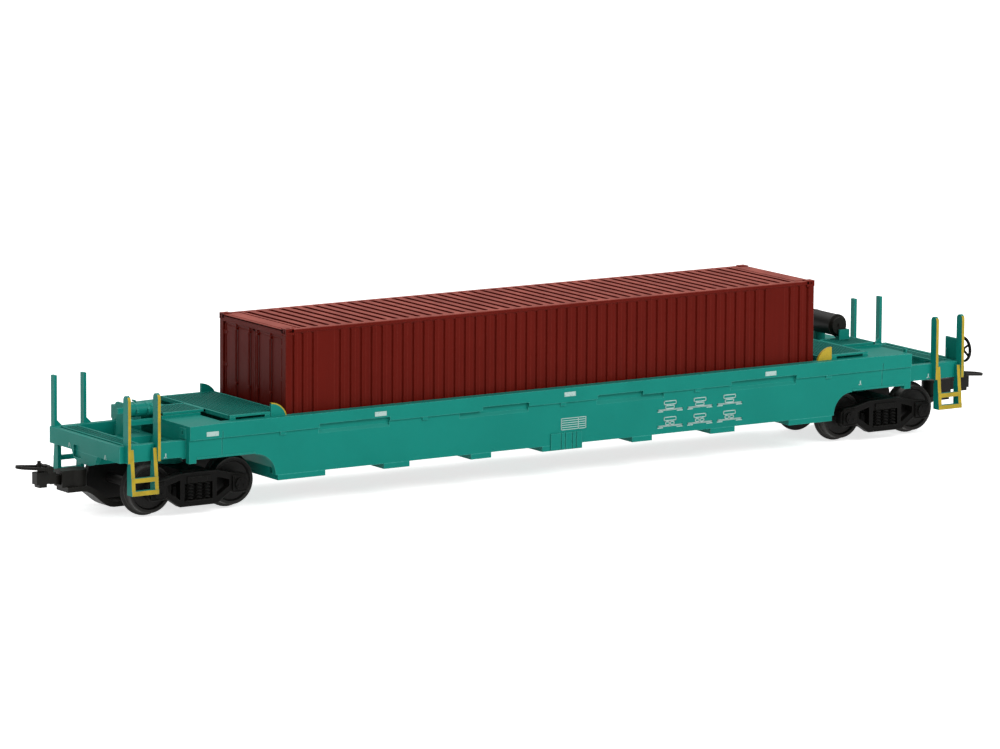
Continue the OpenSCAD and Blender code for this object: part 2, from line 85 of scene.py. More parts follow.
def add_camera():
    forward = Vector((math.sin(VIEW_YAW) * math.cos(VIEW_PITCH),
                      math.cos(VIEW_YAW) * math.cos(VIEW_PITCH), -math.sin(VIEW_PITCH)))
    level = forward.cross(Vector((0, 0, 1))).normalized()
    upright = level.cross(forward)
    right = level * math.cos(VIEW_ROLL) + upright * math.sin(VIEW_ROLL)
    up = upright * math.cos(VIEW_ROLL) - level * math.sin(VIEW_ROLL)
    data = bpy.data.cameras.new("camera")
    data.lens = VIEW_LENS
    data.sensor_width = 36
    data.clip_start = 0.05
    data.clip_end = 20
    camera = add_object("camera", data)
    camera.matrix_world = Matrix.Translation(VIEW_FROM) @ Matrix((right, up, -forward)).transposed().to_4x4()
    bpy.context.scene.camera = camera


add_camera()
print("camera lens", VIEW_LENS, "mm")

# %% [markdown]
# ## Studio light
# A satin plastic model shows its shape through soft highlights. One large lamp in front lights the long side,
# a weaker one fills the far end, and one behind and above draws the roof's ribs.
# The world gives an even pale surround, which glossy faces reflect.

# %% Lamps and world
AIM = Vector((0, 0, 0.02))
WORLD_LEVEL = 0.34
# Name, place and size in metres, and watts
LAMPS = (("key", (0.25, -0.95, 0.75), (0.9, 0.5), 8.2),
         ("fill", (-1.0, -0.5, 0.5), (0.6, 0.5), 1.2),
         ("roof_light", (0.1, 0.75, 1.0), (1.4, 0.6), 7))

for name, place, size, watts in LAMPS:
    data = bpy.data.lights.new(name, "AREA")
    data.shape = "RECTANGLE"
    data.size, data.size_y = size
    data.energy = watts
    lamp = add_object(name, data)
    lamp.location = place
    lamp.rotation_euler = (AIM - Vector(place)).to_track_quat("-Z", "Y").to_euler()

world = bpy.data.worlds.new("studio")
bpy.context.scene.world = world
world.use_nodes = True
background = world.node_tree.nodes["Background"]
background.inputs["Color"].default_value = (1, 1, 1, 1)
background.inputs["Strength"].default_value = WORLD_LEVEL
bpy.context.scene.view_settings.view_transform = "Standard"
print("lamps:", [lamp.name for lamp in bpy.data.lights])

# %% [markdown]
# ## Node sums as Python
# A shader is a small program, and its sums are easier to read as `1 - mask * 0.3` than as a list of links.
# `Value` wraps one socket, and each operator adds one Math node.
# `Graph.node` adds any other node: its settings first, then the values or links of its sockets.

# %% Value and Graph


class Value:
    """One output socket that takes part in Python sums."""

    def __init__(self, graph, socket):
        self.graph = graph
        self.socket = socket

    def math(self, operation, *others):
        return self.graph.node("ShaderNodeMath", {"operation": operation},
                               dict(enumerate((self, *others))))

    def __add__(self, other):
        return self.math("ADD", other)

    def __rsub__(self, other):
        return self.graph.node("ShaderNodeMath", {"operation": "SUBTRACT"}, {0: other, 1: self})

    def __mul__(self, other):
        return self.math("MULTIPLY", other)

    def __gt__(self, other):
        return self.math("GREATER_THAN", other)

    def __lt__(self, other):
        return self.math("LESS_THAN", other)

    __radd__ = __add__
    __rmul__ = __mul__


class Graph:
    """Adds nodes to one node tree."""

    def __init__(self, tree):
        self.tree = tree

    def node(self, kind, settings=None, inputs=None, out=0):
        made = self.tree.nodes.new(kind)
        for key, setting in (settings or {}).items():
            if key == "ramp":
                self.fill_ramp(made.color_ramp, setting)
            else:
                setattr(made, key, setting)
        for key, entry in (inputs or {}).items():
            if isinstance(entry, Value):
                self.tree.links.new(entry.socket, made.inputs[key])
            else:
                made.inputs[key].default_value = entry
        return Value(self, made.outputs[out]) if made.outputs else made

    @staticmethod
    def fill_ramp(ramp, stops):
        while len(ramp.elements) < len(stops):
            ramp.elements.new(0.5)
        for element, (place, colour) in zip(ramp.elements, stops):
            element.position = place
            element.color = (*colour, 1) if len(colour) == 3 else colour


# %% [markdown]
# ## Pattern and mixing helpers
# Every pattern reads Object coordinates scaled to millimetres, so a noise scale of 2 means
# two bumps to the millimetre, and nothing slides when a bogie turns or the container lifts.

# %% Coordinates, noise and colour mixing


def start_material(name):
    material = bpy.data.materials.new(name)
    material.use_nodes = True
    graph = Graph(material.node_tree)
    shader = material.node_tree.nodes["Principled BSDF"]
    return material, graph, shader


def object_mm(graph):
    place = graph.node("ShaderNodeTexCoord", out="Object")
    return graph.node("ShaderNodeVectorMath", {"operation": "SCALE"}, {"Vector": place, "Scale": 1 / MM})


def axis_of(graph, vector, axis):
    return graph.node("ShaderNodeSeparateXYZ", inputs={0: vector}, out="XYZ".index(axis))


def stretch(graph, vector, factors):
    return graph.node("ShaderNodeVectorMath", {"operation": "MULTIPLY"}, {0: vector, 1: factors})


def noise(graph, vector, scale, detail=2.0, roughness=0.5):
    return graph.node("ShaderNodeTexNoise", inputs={
        "Vector": vector, "Scale": scale, "Detail": detail, "Roughness": roughness})


def remap(graph, value, low, high, new_low=0.0, new_high=1.0):
    return graph.node("ShaderNodeMapRange", inputs={
        "Value": value, "From Min": low, "From Max": high, "To Min": new_low, "To Max": new_high})


def mix(graph, factor, first, second):
    made = graph.tree.nodes.new("ShaderNodeMix")
    made.data_type = "RGBA"
    for key, entry in ((0, factor), (6, first), (7, second)):
        if isinstance(entry, Value):
            graph.tree.links.new(entry.socket, made.inputs[key])
        else:
            made.inputs[key].default_value = (*entry, 1) if isinstance(entry, tuple) else entry
    return Value(graph, made.outputs[2])


def bump(graph, height, depth_mm, strength=1.0):
    return graph.node("ShaderNodeBump", inputs={
        "Height": height, "Distance": depth_mm * MM, "Strength": strength})


def connect(graph, value, shader, socket):
    graph.tree.links.new(value.socket, shader.inputs[socket])


# %% [markdown]
# ## The floor
# The model stands on a plain pale sweep that fills the picture. Seen straight on, or mirrored in metal, it glows
# a little, so that the backdrop comes out white while the model's own shadow stays. It adds no light to the model.

# %% Floor
FLOOR_GLOW = 0.72
FLOOR_HALF = 12
FLOOR_Z = -0.0001
# Output numbers of Light Path: camera, glossy and transmission rays
LOOKING_RAYS = (0, 3, 6)


def seen_directly(graph):
    """1 for rays that look at the backdrop; 0 for rays that carry light."""
    camera, glossy, through = (graph.node("ShaderNodeLightPath", out=index) for index in LOOKING_RAYS)
    return camera.math("MAXIMUM", glossy).math("MAXIMUM", through)


def add_floor():
    material, graph, shader = start_material("floor")
    place = graph.node("ShaderNodeTexCoord", out="Object")
    fine = remap(graph, noise(graph, place, 900.0, 2), 0.3, 0.7, 0.84, 0.88)
    connect(graph, fine, shader, "Base Color")
    connect(graph, seen_directly(graph) * FLOOR_GLOW, shader, "Emission Color")
    shader.inputs["Emission Strength"].default_value = 1
    shader.inputs["Roughness"].default_value = 0.9
    shader.inputs["Specular IOR Level"].default_value = 0.1
    mesh = bpy.data.meshes.new("floor")
    corners = [(x * FLOOR_HALF, y * FLOOR_HALF, FLOOR_Z) for x, y in ((-1, -1), (1, -1), (1, 1), (-1, 1))]
    mesh.from_pydata(corners, [], [(0, 1, 2, 3)])
    mesh.materials.append(material)
    add_object("floor", mesh)


add_floor()
print("floor:", 2 * FLOOR_HALF, "m square")

# %% [markdown]
# ## Edges and up-facing faces
# On a small painted model the edges are painted a shade lighter here, as a painted highlight, and whatever faces up
# takes a bloom of dust, which on the container is mostly a painted top light. A Bevel node finds the edges, by
# comparing the softened normal with the true one. The up-facing mask follows the up-facing part of the normal,
# broken up by noise.

# %% Edge and up-facing masks


def edge_mask(graph, radius_mm):
    soft = graph.node("ShaderNodeBevel", {"samples": 4}, {"Radius": radius_mm * MM})
    true = graph.node("ShaderNodeNewGeometry", out="Normal")
    same = graph.node("ShaderNodeVectorMath", {"operation": "DOT_PRODUCT"}, {0: soft, 1: true}, out="Value")
    return remap(graph, same, 0.98, 0.82)


def upward(graph):
    normal = graph.node("ShaderNodeTexCoord", out="Normal")
    return remap(graph, axis_of(graph, normal, "Z"), 0.3, 1.0)


# %% [markdown]
# ## Moulded plastic
# The wagon and its container are moulded in coloured plastic and sprayed satin. Up close such a part has
# a fine grain, slow waves where the plastic shrank, and small shifts of tone between thick and thin places.
# One function makes all of these finishes, since they differ only in colour, gloss and grain.

# %% The plastic finish
TEAL = (0.004, 0.255, 0.205)
TEAL_LIGHT = (0.09, 0.47, 0.4)
# A darker copy of the teal, for the grating bars: painted shade standing in for the depth of the grid.
TEAL_SHADED = (0.003, 0.15, 0.12)
OXIDE = (0.13, 0.0062, 0.0022)
OXIDE_LIGHT = (0.3, 0.05, 0.035)
# A light pinkish red, mixed into the container's up-facing faces as a painted top light and sheen.
OXIDE_TOP_LIGHT = (0.74, 0.21, 0.16)
BLACK = (0.0033, 0.003, 0.0027)
BLACK_LIGHT = (0.04, 0.038, 0.034)
WARM_BLACK = (0.0085, 0.0078, 0.006)
DUST = (0.3, 0.28, 0.24)
ROOF_GROOVE_Z = node_box("container_castings")[1].z - 0.4


def moulded_plastic(name, colour, light, rough, shine, edge, dust_and_top_light=0.02, dust_and_top_light_tint=DUST, streaks=0.0,
                    shaded_below_z=None):
    """Up-facing faces take dust and a painted top light; below the given height, as in a roof's grooves, these are
    cut to a quarter, painting shade there.
    """
    material, graph, shader = start_material(name)
    place = object_mm(graph)
    blotch = remap(graph, noise(graph, place, 0.09, 3), 0.35, 0.65)
    tone = mix(graph, blotch * 0.5, colour, tuple(c * 0.86 for c in colour))
    if streaks:
        run = remap(graph, noise(graph, stretch(graph, place, (1.6, 1.6, 0.06)), 1.0, 3), 0.45, 0.75)
        tone = mix(graph, run * streaks, tone, tuple(c * 0.62 for c in colour))
    speck = remap(graph, noise(graph, place, 2.6, 4, 0.7), 0.62, 0.8)
    tone = mix(graph, speck * 0.18, tone, light)
    # Edges are painted a shade lighter, in patches: a painted highlight.
    edge_highlight = edge_mask(graph, 0.2) * remap(graph, noise(graph, place, 1.1, 3), 0.25, 0.5)
    tone = mix(graph, edge_highlight * edge, tone, light)
    # Up-facing faces are mixed towards the tint: a thin dust on most plastics, and on the container a painted top
    # light.
    dust_and_top_light_mask = upward(graph) * remap(graph, noise(graph, place, 0.2, 4, 0.5), 0.35, 0.7, 0.3, 0.52) * dust_and_top_light
    if shaded_below_z is not None:
        # Below the given height the mix is cut back, which paints shade into the roof's grooves.
        dust_and_top_light_mask = dust_and_top_light_mask * (1 - (axis_of(graph, place, "Z") < shaded_below_z) * 0.75)
    connect(graph, mix(graph, dust_and_top_light_mask, tone, dust_and_top_light_tint), shader, "Base Color")
    connect(graph, rough + blotch * 0.05 + speck * 0.06 + dust_and_top_light_mask * 0.25, shader, "Roughness")
    grain = noise(graph, place, 7.0, 2) * 0.35 + noise(graph, place, 0.55, 2) * 0.65
    connect(graph, bump(graph, grain, 0.018, 0.6), shader, "Normal")
    shader.inputs["Specular IOR Level"].default_value = shine
    return material


car_paint = moulded_plastic("car_paint", TEAL, TEAL_LIGHT, rough=0.4, shine=0.13, edge=0.8)
# The grating bars take the darker teal, painted shade for the depth of the grid.
grating_shaded_paint = moulded_plastic("grating_shaded_paint", TEAL_SHADED, TEAL, rough=0.52, shine=0.1, edge=0.5)
# On the container the up-facing mix is strong: a painted pinkish top light on the roof, held back in its grooves as
# painted shade.
container_paint = moulded_plastic("container_paint", OXIDE, OXIDE_LIGHT, rough=0.42, shine=0.08, edge=0.4,
                                  dust_and_top_light=0.98, dust_and_top_light_tint=OXIDE_TOP_LIGHT, streaks=0.35, shaded_below_z=ROOF_GROOVE_Z)
black_plastic = moulded_plastic("black_plastic", BLACK, BLACK_LIGHT, rough=0.5, shine=0.1, edge=0.5)
satin_black = moulded_plastic("satin_black", WARM_BLACK, BLACK_LIGHT, rough=0.42, shine=0.16, edge=0.5, dust_and_top_light=0.04)
print("plastics:", [material.name for material in bpy.data.materials])

# %% [markdown]
# ## Painted edges
# The outward faces of the ladders are picked out in yellow, as the real ones are for safety. The same moulding
# carries both colours, so one material paints by direction: yellow where the outward normal points
# away from the wagon's middle, teal elsewhere. The brush line wavers a little, and the yellow is thin
# enough at its edges to let the teal show.

# %% The ladder finish
YELLOW = (0.56, 0.40, 0.032)


def ladder_finish():
    material, graph, shader = start_material("ladder_paint")
    place = object_mm(graph)
    normal = graph.node("ShaderNodeTexCoord", out="Normal")
    out_y = axis_of(graph, place, "Y").math("SIGN") * axis_of(graph, normal, "Y")
    waver = noise(graph, place, 2.2, 3) * 0.2
    painted = remap(graph, out_y + waver, 0.72, 0.86)
    chips = remap(graph, noise(graph, place, 3.1, 5, 0.7), 0.64, 0.7)
    worn = edge_mask(graph, 0.1) * 0.5
    cover = painted * (1 - chips * 0.8) * (1 - worn)
    blotch = remap(graph, noise(graph, place, 0.4, 3), 0.35, 0.65)
    teal = mix(graph, blotch * 0.5, TEAL, tuple(c * 0.86 for c in TEAL))
    # The teal is painted a shade lighter on the ladder's edges: a painted highlight.
    teal = mix(graph, edge_mask(graph, 0.14) * 0.4, teal, TEAL_LIGHT)
    yellow = mix(graph, blotch, YELLOW, (0.42, 0.31, 0.03))
    connect(graph, mix(graph, cover, teal, yellow), shader, "Base Color")
    connect(graph, 0.38 + cover * 0.1, shader, "Roughness")
    grain = noise(graph, place, 7.0, 2) * 0.35 + cover * 0.5
    connect(graph, bump(graph, grain, 0.02, 0.6), shader, "Normal")
    shader.inputs["Specular IOR Level"].default_value = 0.13
    return material


ladder_paint = ladder_finish()
print("ladder finish:", ladder_paint.name)


def painted_marks(name, colour, worn_tint, wear):
    """Thin paint or print: patchy, slightly rubbed through."""
    material, graph, shader = start_material(name)
    place = object_mm(graph)
    rub = remap(graph, noise(graph, place, 2.4, 5, 0.7), 0.5, 0.72) * wear
    connect(graph, mix(graph, rub, colour, worn_tint), shader, "Base Color")
    connect(graph, 0.42 + rub * 0.15, shader, "Roughness")
    connect(graph, bump(graph, noise(graph, place, 8.0, 2), 0.01, 0.5), shader, "Normal")
    shader.inputs["Specular IOR Level"].default_value = 0.2
    return material


yellow_paint = painted_marks("yellow_paint", YELLOW, (0.2, 0.22, 0.06), 0.5)
white_print = painted_marks("white_print", (0.5, 0.66, 0.62), (0.12, 0.4, 0.34), 0.7)

# %% [markdown]
# ## Blackened wheels
# The wheelsets are turned metal, blackened chemically. Running on rails keeps a bright ring on the tread and
# the flange's root, while the wheel faces stay dark with fine turning rings. Both depend on the distance from
# the axle, so each axle gets its own material centred on it.

# %% The wheel finish


def wheel_finish(name, axle_x, axle_z, tread_r):
    material, graph, shader = start_material(name)
    place = object_mm(graph)
    centred = graph.node("ShaderNodeVectorMath", {"operation": "SUBTRACT"},
                         {0: place, 1: (axle_x, 0, axle_z)})
    flat = stretch(graph, centred, (1, 0, 1))
    radius = graph.node("ShaderNodeVectorMath", {"operation": "LENGTH"}, {0: flat}, out="Value")
    reach = axis_of(graph, centred, "Y").math("ABSOLUTE")
    on_tread = (radius > tread_r - 0.3) * (radius < tread_r + 0.2) * (reach > 7.4)
    patches = remap(graph, noise(graph, place, 1.3, 4, 0.65), 0.35, 0.65)
    bright = on_tread * (0.4 + patches * 0.35)
    rings = (radius * 34.0).math("SINE") * 0.5 + 0.5
    dark = mix(graph, patches, (0.005, 0.0046, 0.0042), (0.010, 0.0085, 0.007))
    connect(graph, mix(graph, bright, dark, (0.05, 0.048, 0.044)), shader, "Base Color")
    connect(graph, 0.55 - bright * 0.15 + rings * 0.05, shader, "Roughness")
    connect(graph, 0.5 + bright * 0.3, shader, "Metallic")
    connect(graph, bump(graph, rings * 0.5 + patches * 0.5, 0.012, 0.5), shader, "Normal")
    return material


def wheel_materials():
    made = {}
    for name in frame["nodes"]:
        if name.startswith("wheelset"):
            low, high = node_box(name)
            centre = (low + high) / 2
            made[name] = wheel_finish(name + "_metal", centre.x, centre.z, (high.z - low.z) / 2 - 0.7)
    return made


wheel_metals = wheel_materials()
pin_metal = wheel_finish("pin_metal", 0, 0, 1000)
print("wheel finishes:", sorted(wheel_metals))

# %% [markdown]
# ## Finish for the CAD nodes
# A CAD node whose shape is right only needs a better material in its slots. The record says which
# of the finishes each node takes, and the ladders and wheelsets have their own.

# %% Assign materials
finishes = {"car_paint": car_paint, "container_paint": container_paint, "black_plastic": black_plastic,
            "wheel_metal": pin_metal}
slots = {row["node"]: row["material_slot"] for row in frame["record"]["subparts"]}


def finish_for(name):
    if name.startswith("ladder"):
        return ladder_paint
    if name.startswith(("air_reservoir", "coupler")):
        return satin_black
    return wheel_metals.get(name, finishes[slots[name]])


for name, node in frame["nodes"].items():
    node.data.materials.clear()
    node.data.materials.append(finish_for(name))
print("assigned", len(frame["nodes"]), "nodes")

# %% [markdown]
# ## A small kit for building shapes
# Fine parts here are all blocks with softened edges, rods, and flat outlines pushed to a thickness.
# `Shape` collects them into one bmesh, drawn in millimetres, and turns them into a single piece
# that rides on its body. Joining them keeps the object list short.

# %% Shape


class Shape:
    """One mesh put together from simple solids, drawn in millimetres."""

    def __init__(self):
        self.mesh = bmesh.new()

    def block(self, x, y, z, soften=0.05):
        size = Vector((x[1] - x[0], y[1] - y[0], z[1] - z[0]))
        middle = Vector((x[0] + x[1], y[0] + y[1], z[0] + z[1])) / 2
        place = Matrix.Translation(middle) @ Matrix.Diagonal((*size, 1))
        made = bmesh.ops.create_cube(self.mesh, size=1, matrix=place)
        if soften:
            edges = {edge for vert in made["verts"] for edge in vert.link_edges}
            limit = min(size) * 0.3
            bmesh.ops.bevel(self.mesh, geom=list(edges), offset=min(soften, limit), segments=1,
                            affect="EDGES")
        return self

    def rod(self, start, end, radius, sides=12):
        start, end = Vector(start), Vector(end)
        along = end - start
        turn = along.to_track_quat("Z", "Y").to_matrix().to_4x4()
        bmesh.ops.create_cone(self.mesh, cap_ends=True, segments=sides, radius1=radius, radius2=radius,
                              depth=along.length, matrix=Matrix.Translation((start + end) / 2) @ turn)
        return self

    def ball(self, centre, radius):
        bmesh.ops.create_icosphere(self.mesh, subdivisions=2, radius=radius, matrix=Matrix.Translation(centre))
        return self

    def plate(self, outline, axis, low, high, holes=()):
        """An outline pushed from low to high along an axis; its other two coordinates come in XYZ order."""
        loops = [outline, *holes]
        flat = [[Vector((a, b, 0)) for a, b in loop] for loop in loops]
        index = "XYZ".index(axis)

        def lift(point, level):
            coords = [point[0], point[1]]
            coords.insert(index, level)
            return self.mesh.verts.new(coords)

        levels = [[lift(point, level) for loop in loops for point in loop] for level in (low, high)]
        before = len(self.mesh.faces)
        for triangle in tessellate_polygon(flat):
            for verts in levels:
                self.mesh.faces.new([verts[i] for i in triangle])
        start = 0
        for loop in loops:
            for i in range(len(loop)):
                a, b = start + i, start + (i + 1) % len(loop)
                self.mesh.faces.new([levels[0][a], levels[0][b], levels[1][b], levels[1][a]])
            start += len(loop)
        self.mesh.faces.ensure_lookup_table()
        bmesh.ops.recalc_face_normals(self.mesh, faces=self.mesh.faces[before:])
        return self

    def move(self, x, y=0, z=0):
        bmesh.ops.translate(self.mesh, verts=self.mesh.verts, vec=(x, y, z))
        return self

    def flip(self, axis):
        """Turns the shape into its mirror image, across the plane through the origin."""
        bmesh.ops.scale(self.mesh, vec=[-1 if name == axis else 1 for name in "XYZ"], verts=self.mesh.verts)
        bmesh.ops.reverse_faces(self.mesh, faces=self.mesh.faces[:])
        return self

    def add_copy(self, matrix):
        """Adds a copy of the shape, moved by the matrix. A mirrored copy has its faces turned back outwards."""
        everything = self.mesh.verts[:] + self.mesh.edges[:] + self.mesh.faces[:]
        copy = bmesh.ops.duplicate(self.mesh, geom=everything)["geom"]
        bmesh.ops.transform(self.mesh, matrix=matrix,
                            verts=[item for item in copy if isinstance(item, bmesh.types.BMVert)])
        if matrix.determinant() < 0:
            bmesh.ops.reverse_faces(self.mesh,
                                    faces=[item for item in copy if isinstance(item, bmesh.types.BMFace)])
        return self

    def mirror(self, axis):
        return self.add_copy(Matrix.Diagonal([-1 if name == axis else 1 for name in "XYZW"]))

    def turn_round(self):
        """Adds the same shape once more, half a turn about the middle."""
        return self.add_copy(Matrix.Rotation(math.pi, 4, "Z"))

    def to_object(self, name, material):
        mesh = bpy.data.meshes.new(name)
        bmesh.ops.scale(self.mesh, vec=(MM, MM, MM), verts=self.mesh.verts)
        self.mesh.to_mesh(mesh)
        self.mesh.free()
        mesh.materials.append(material)
        return add_object(name, mesh)


def place_piece(piece, body, slot, *replaced):
    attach(piece, body)
    if replaced:
        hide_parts(*replaced)
    print(piece.name, "rides on", body, "with", len(piece.data.polygons), "faces")


# %% [markdown]
# ## Repeating with Geometry Nodes
# Grating bars, corrugations and springs are one small shape repeated at a fixed step. The tree below makes
# a row of points, puts the modifier's own mesh on each, realizes the copies and welds the seams.
# The inputs are named, and each is set by its identifier before the object is first evaluated.

# %% The repeat tree


def start_tree(name, **kinds):
    """A tree with a geometry input and these named ones, and the Graph and Values to build it with."""
    tree = bpy.data.node_groups.new(name, "GeometryNodeTree")
    kinds = {"Geometry": "Geometry", **kinds}
    for key, kind in kinds.items():
        tree.interface.new_socket(key, in_out="INPUT", socket_type="NodeSocket" + kind)
    tree.interface.new_socket("Geometry", in_out="OUTPUT", socket_type="NodeSocketGeometry")
    graph = Graph(tree)
    start = tree.nodes.new("NodeGroupInput")
    return graph, [Value(graph, start.outputs[key]) for key in kinds]


def end_tree(graph, shape, finish):
    coloured = graph.node("GeometryNodeSetMaterial", inputs={"Geometry": shape, "Material": finish})
    graph.tree.links.new(coloured.socket, graph.tree.nodes.new("NodeGroupOutput").inputs["Geometry"])
    return graph.tree


def build_repeat_tree():
    graph, (unit, count, step, finish) = start_tree("repeat_in_a_row", Count="Int", Step="Vector",
                                                    Finish="Material")
    row = graph.node("GeometryNodeMeshLine", {"mode": "OFFSET"}, {"Count": count, "Offset": step})
    copies = graph.node("GeometryNodeInstanceOnPoints", inputs={"Points": row, "Instance": unit})
    solid = graph.node("GeometryNodeRealizeInstances", inputs={0: copies})
    welded = graph.node("GeometryNodeMergeByDistance", inputs={"Geometry": solid, "Distance": 0.002 * MM})
    return end_tree(graph, welded, finish)


def run_tree(piece, tree, **values):
    """Runs a tree on a piece, and gives back a plain mesh object of the same name."""
    modifier = piece.modifiers.new(tree.name, "NODES")
    modifier.node_group = tree
    sockets = {item.name: item.identifier for item in tree.interface.items_tree if item.in_out == "INPUT"}
    for name, value in values.items():
        modifier[sockets[name]] = value
    shown = piece.evaluated_get(bpy.context.evaluated_depsgraph_get())
    mesh = bpy.data.meshes.new_from_object(shown)
    name = piece.name
    bpy.data.objects.remove(piece)
    return add_object(name, mesh)


repeat_tree = build_repeat_tree()


def repeat(unit, count, step):
    """A row of copies of a finished unit, in the unit's own material."""
    return run_tree(unit, repeat_tree, Count=count, Step=[c * MM for c in step], Finish=unit.data.materials[0])


def join(name, *pieces):
    """Joins finished meshes into one object."""
    whole = bmesh.new()
    materials = []
    for piece in pieces:
        first = len(whole.faces)
        offset = len(materials)
        whole.from_mesh(piece.data)
        whole.faces.ensure_lookup_table()
        for face in whole.faces[first:]:
            face.material_index += offset
        materials.extend(piece.data.materials)
    mesh = bpy.data.meshes.new(name)
    whole.to_mesh(mesh)
    whole.free()
    for material in materials:
        mesh.materials.append(material)
    for piece in pieces:
        bpy.data.objects.remove(piece)
    return add_object(name, mesh)


print("repeat tree:", len(repeat_tree.nodes), "nodes")

# %% [markdown]
# ## The container's side walls
# A container's side is folded steel sheet between a top and a bottom rail. The model shows narrow vertical
# grooves at an even pitch, with one wide flat panel near each end. The wall follows a rule, so one
# groove-and-flat section is repeated along the wagon, and the odd panels at the ends are added one by one.

# %% Side walls
box_low, box_high = node_box("container_castings")
BOX_X, BOX_Y = box_high.x, box_high.y
BOX_Z0, BOX_Z1 = box_low.z, box_high.z
GROOVE_FIRST_X = 56.3
GROOVE_COUNT = 42
GROOVE_PITCH = 2 * GROOVE_FIRST_X / GROOVE_COUNT
GROOVE_W = 0.8
GROOVE_DEEP = 0.38
SHEET_SET_BACK = 0.2
BOTTOM_RAIL, TOP_RAIL, POST_W = 1.7, 0.75, 1.5
SHEET_Z = (BOX_Z0 + 1, BOX_Z1 - 0.6)
WALL_T = 1
# Past the even run, each strip of the end panels runs to one of these seams, with its groove in it
END_SEAMS = (61.9, 64.5, 67.0, BOX_X - POST_W)
END_GROOVES = (None, 63.2, 65.8, 68.1)


def groove_section(x0, x1, groove_x, outer):
    """Points of the sheet's face from x0 to x1, with a groove at groove_x, as (x, depth)."""
    lip = GROOVE_W * 0.28
    return [(x0, outer), (groove_x - GROOVE_W / 2, outer), (groove_x - GROOVE_W / 2 + lip, outer - GROOVE_DEEP),
            (groove_x + GROOVE_W / 2 - lip, outer - GROOVE_DEEP), (groove_x + GROOVE_W / 2, outer), (x1, outer)]


def side_wall(name, front, node):
    outer = BOX_Y - SHEET_SET_BACK
    back = BOX_Y - WALL_T
    half = GROOVE_PITCH / 2
    unit = Shape().plate(groove_section(-half, half, 0, outer) + [(half, back), (-half, back)], "Z", *SHEET_Z)
    unit.move(-GROOVE_FIRST_X)
    run = repeat(unit.to_object(name + "_run", container_paint), GROOVE_COUNT + 1, (GROOVE_PITCH, 0, 0))
    ends = Shape()
    starts = (GROOVE_FIRST_X + half, *END_SEAMS)
    for side in (LEFT, RIGHT):
        for a, b, groove in zip(starts, END_SEAMS, END_GROOVES):
            face = groove_section(a, b, groove, outer) if groove else [(a, outer), (b, outer)]
            ends.plate([(side * x, y) for x, y in face + [(b, back), (a, back)]], "Z", *SHEET_Z)
    rails = Shape()
    inner = BOX_X - POST_W
    rails.block((-inner, inner), (BOX_Y - 1.1, BOX_Y), (BOX_Z0 + 0.15, BOX_Z0 + BOTTOM_RAIL))
    rails.block((-inner, inner), (BOX_Y - 0.9, BOX_Y), (BOX_Z1 - 0.15 - TOP_RAIL, BOX_Z1 - 0.18))
    wall = join(name, run, ends.to_object(name + "_ends", container_paint),
                rails.to_object(name + "_rails", container_paint))
    if front == NEAR:
        wall.data.transform(Matrix.Diagonal((1, -1, 1, 1)))
        wall.data.flip_normals()
    place_piece(wall, "container", "container_paint", node)


side_wall("container_side_sheet_near", NEAR, "container_side_near")
side_wall("container_side_sheet_far", FAR, "container_side_far")

# %% [markdown]
# ## The roof
# The roof sheet has shallow cross grooves with rounded ends that stop short of the edges. Each section is
# a flat strip with a slot in it, over a floor a little lower, so that real walls catch the light.
# A thicker plate without grooves closes each end, with room for the corner castings.

# %% Roof panels
ROOF_GROOVES = 45
ROOF_FIRST_X = 64.2
ROOF_PITCH = 2 * ROOF_FIRST_X / (ROOF_GROOVES - 1)
ROOF_SLOT_W = 1.25
ROOF_SLOT_END = 12.5
ROOF_SLOT_DEEP = 0.4
ROOF_Z = BOX_Z1 - 0.15
ROOF_T = 1
ROOF_EDGE = BOX_Y - 0.25


def stadium(half_w, end, count=7):
    """A slot with round ends, as (x, y)."""
    arc = [math.pi * i / (count - 1) for i in range(count)]
    top = [(half_w * math.cos(a), end - half_w + half_w * math.sin(a)) for a in arc]
    return top + [(-x, -y) for x, y in top]


def roof_panel():
    unit = Shape()
    half = ROOF_PITCH / 2
    outline = [(-half, -ROOF_EDGE), (half, -ROOF_EDGE), (half, ROOF_EDGE), (-half, ROOF_EDGE)]
    unit.plate(outline, "Z", ROOF_Z - ROOF_SLOT_DEEP, ROOF_Z, [stadium(ROOF_SLOT_W / 2, ROOF_SLOT_END)])
    unit.plate(outline, "Z", ROOF_Z - ROOF_T, ROOF_Z - ROOF_SLOT_DEEP)
    unit.move(-ROOF_FIRST_X)
    run = repeat(unit.to_object("roof_run", container_paint), ROOF_GROOVES, (ROOF_PITCH, 0, 0))
    ends = Shape()
    start = ROOF_FIRST_X + half
    for side in (LEFT, RIGHT):
        x = sorted((side * start, side * BOX_X))
        ends.block(x, (-ROOF_EDGE, ROOF_EDGE), (ROOF_Z - ROOF_T, ROOF_Z - 0.12), 0.08)
        inset = sorted((side * (start + 0.5), side * (BOX_X - 0.7)))
        ends.block(inset, (2.2 - BOX_Y, BOX_Y - 2.2), (ROOF_Z - 0.2, ROOF_Z), 0.06)
    panel = join("container_roof_panel", run, ends.to_object("roof_ends", container_paint))
    place_piece(panel, "container", "container_paint", "container_roof")


roof_panel()

# %% [markdown]
# ## The plain end of the container
# The end opposite the doors is a folded sheet too, with its grooves closer together than the sides'.
# It is the same folded section, run across the wagon and stood between the corner posts.

# %% Front wall
FRONT_GROOVES = 9


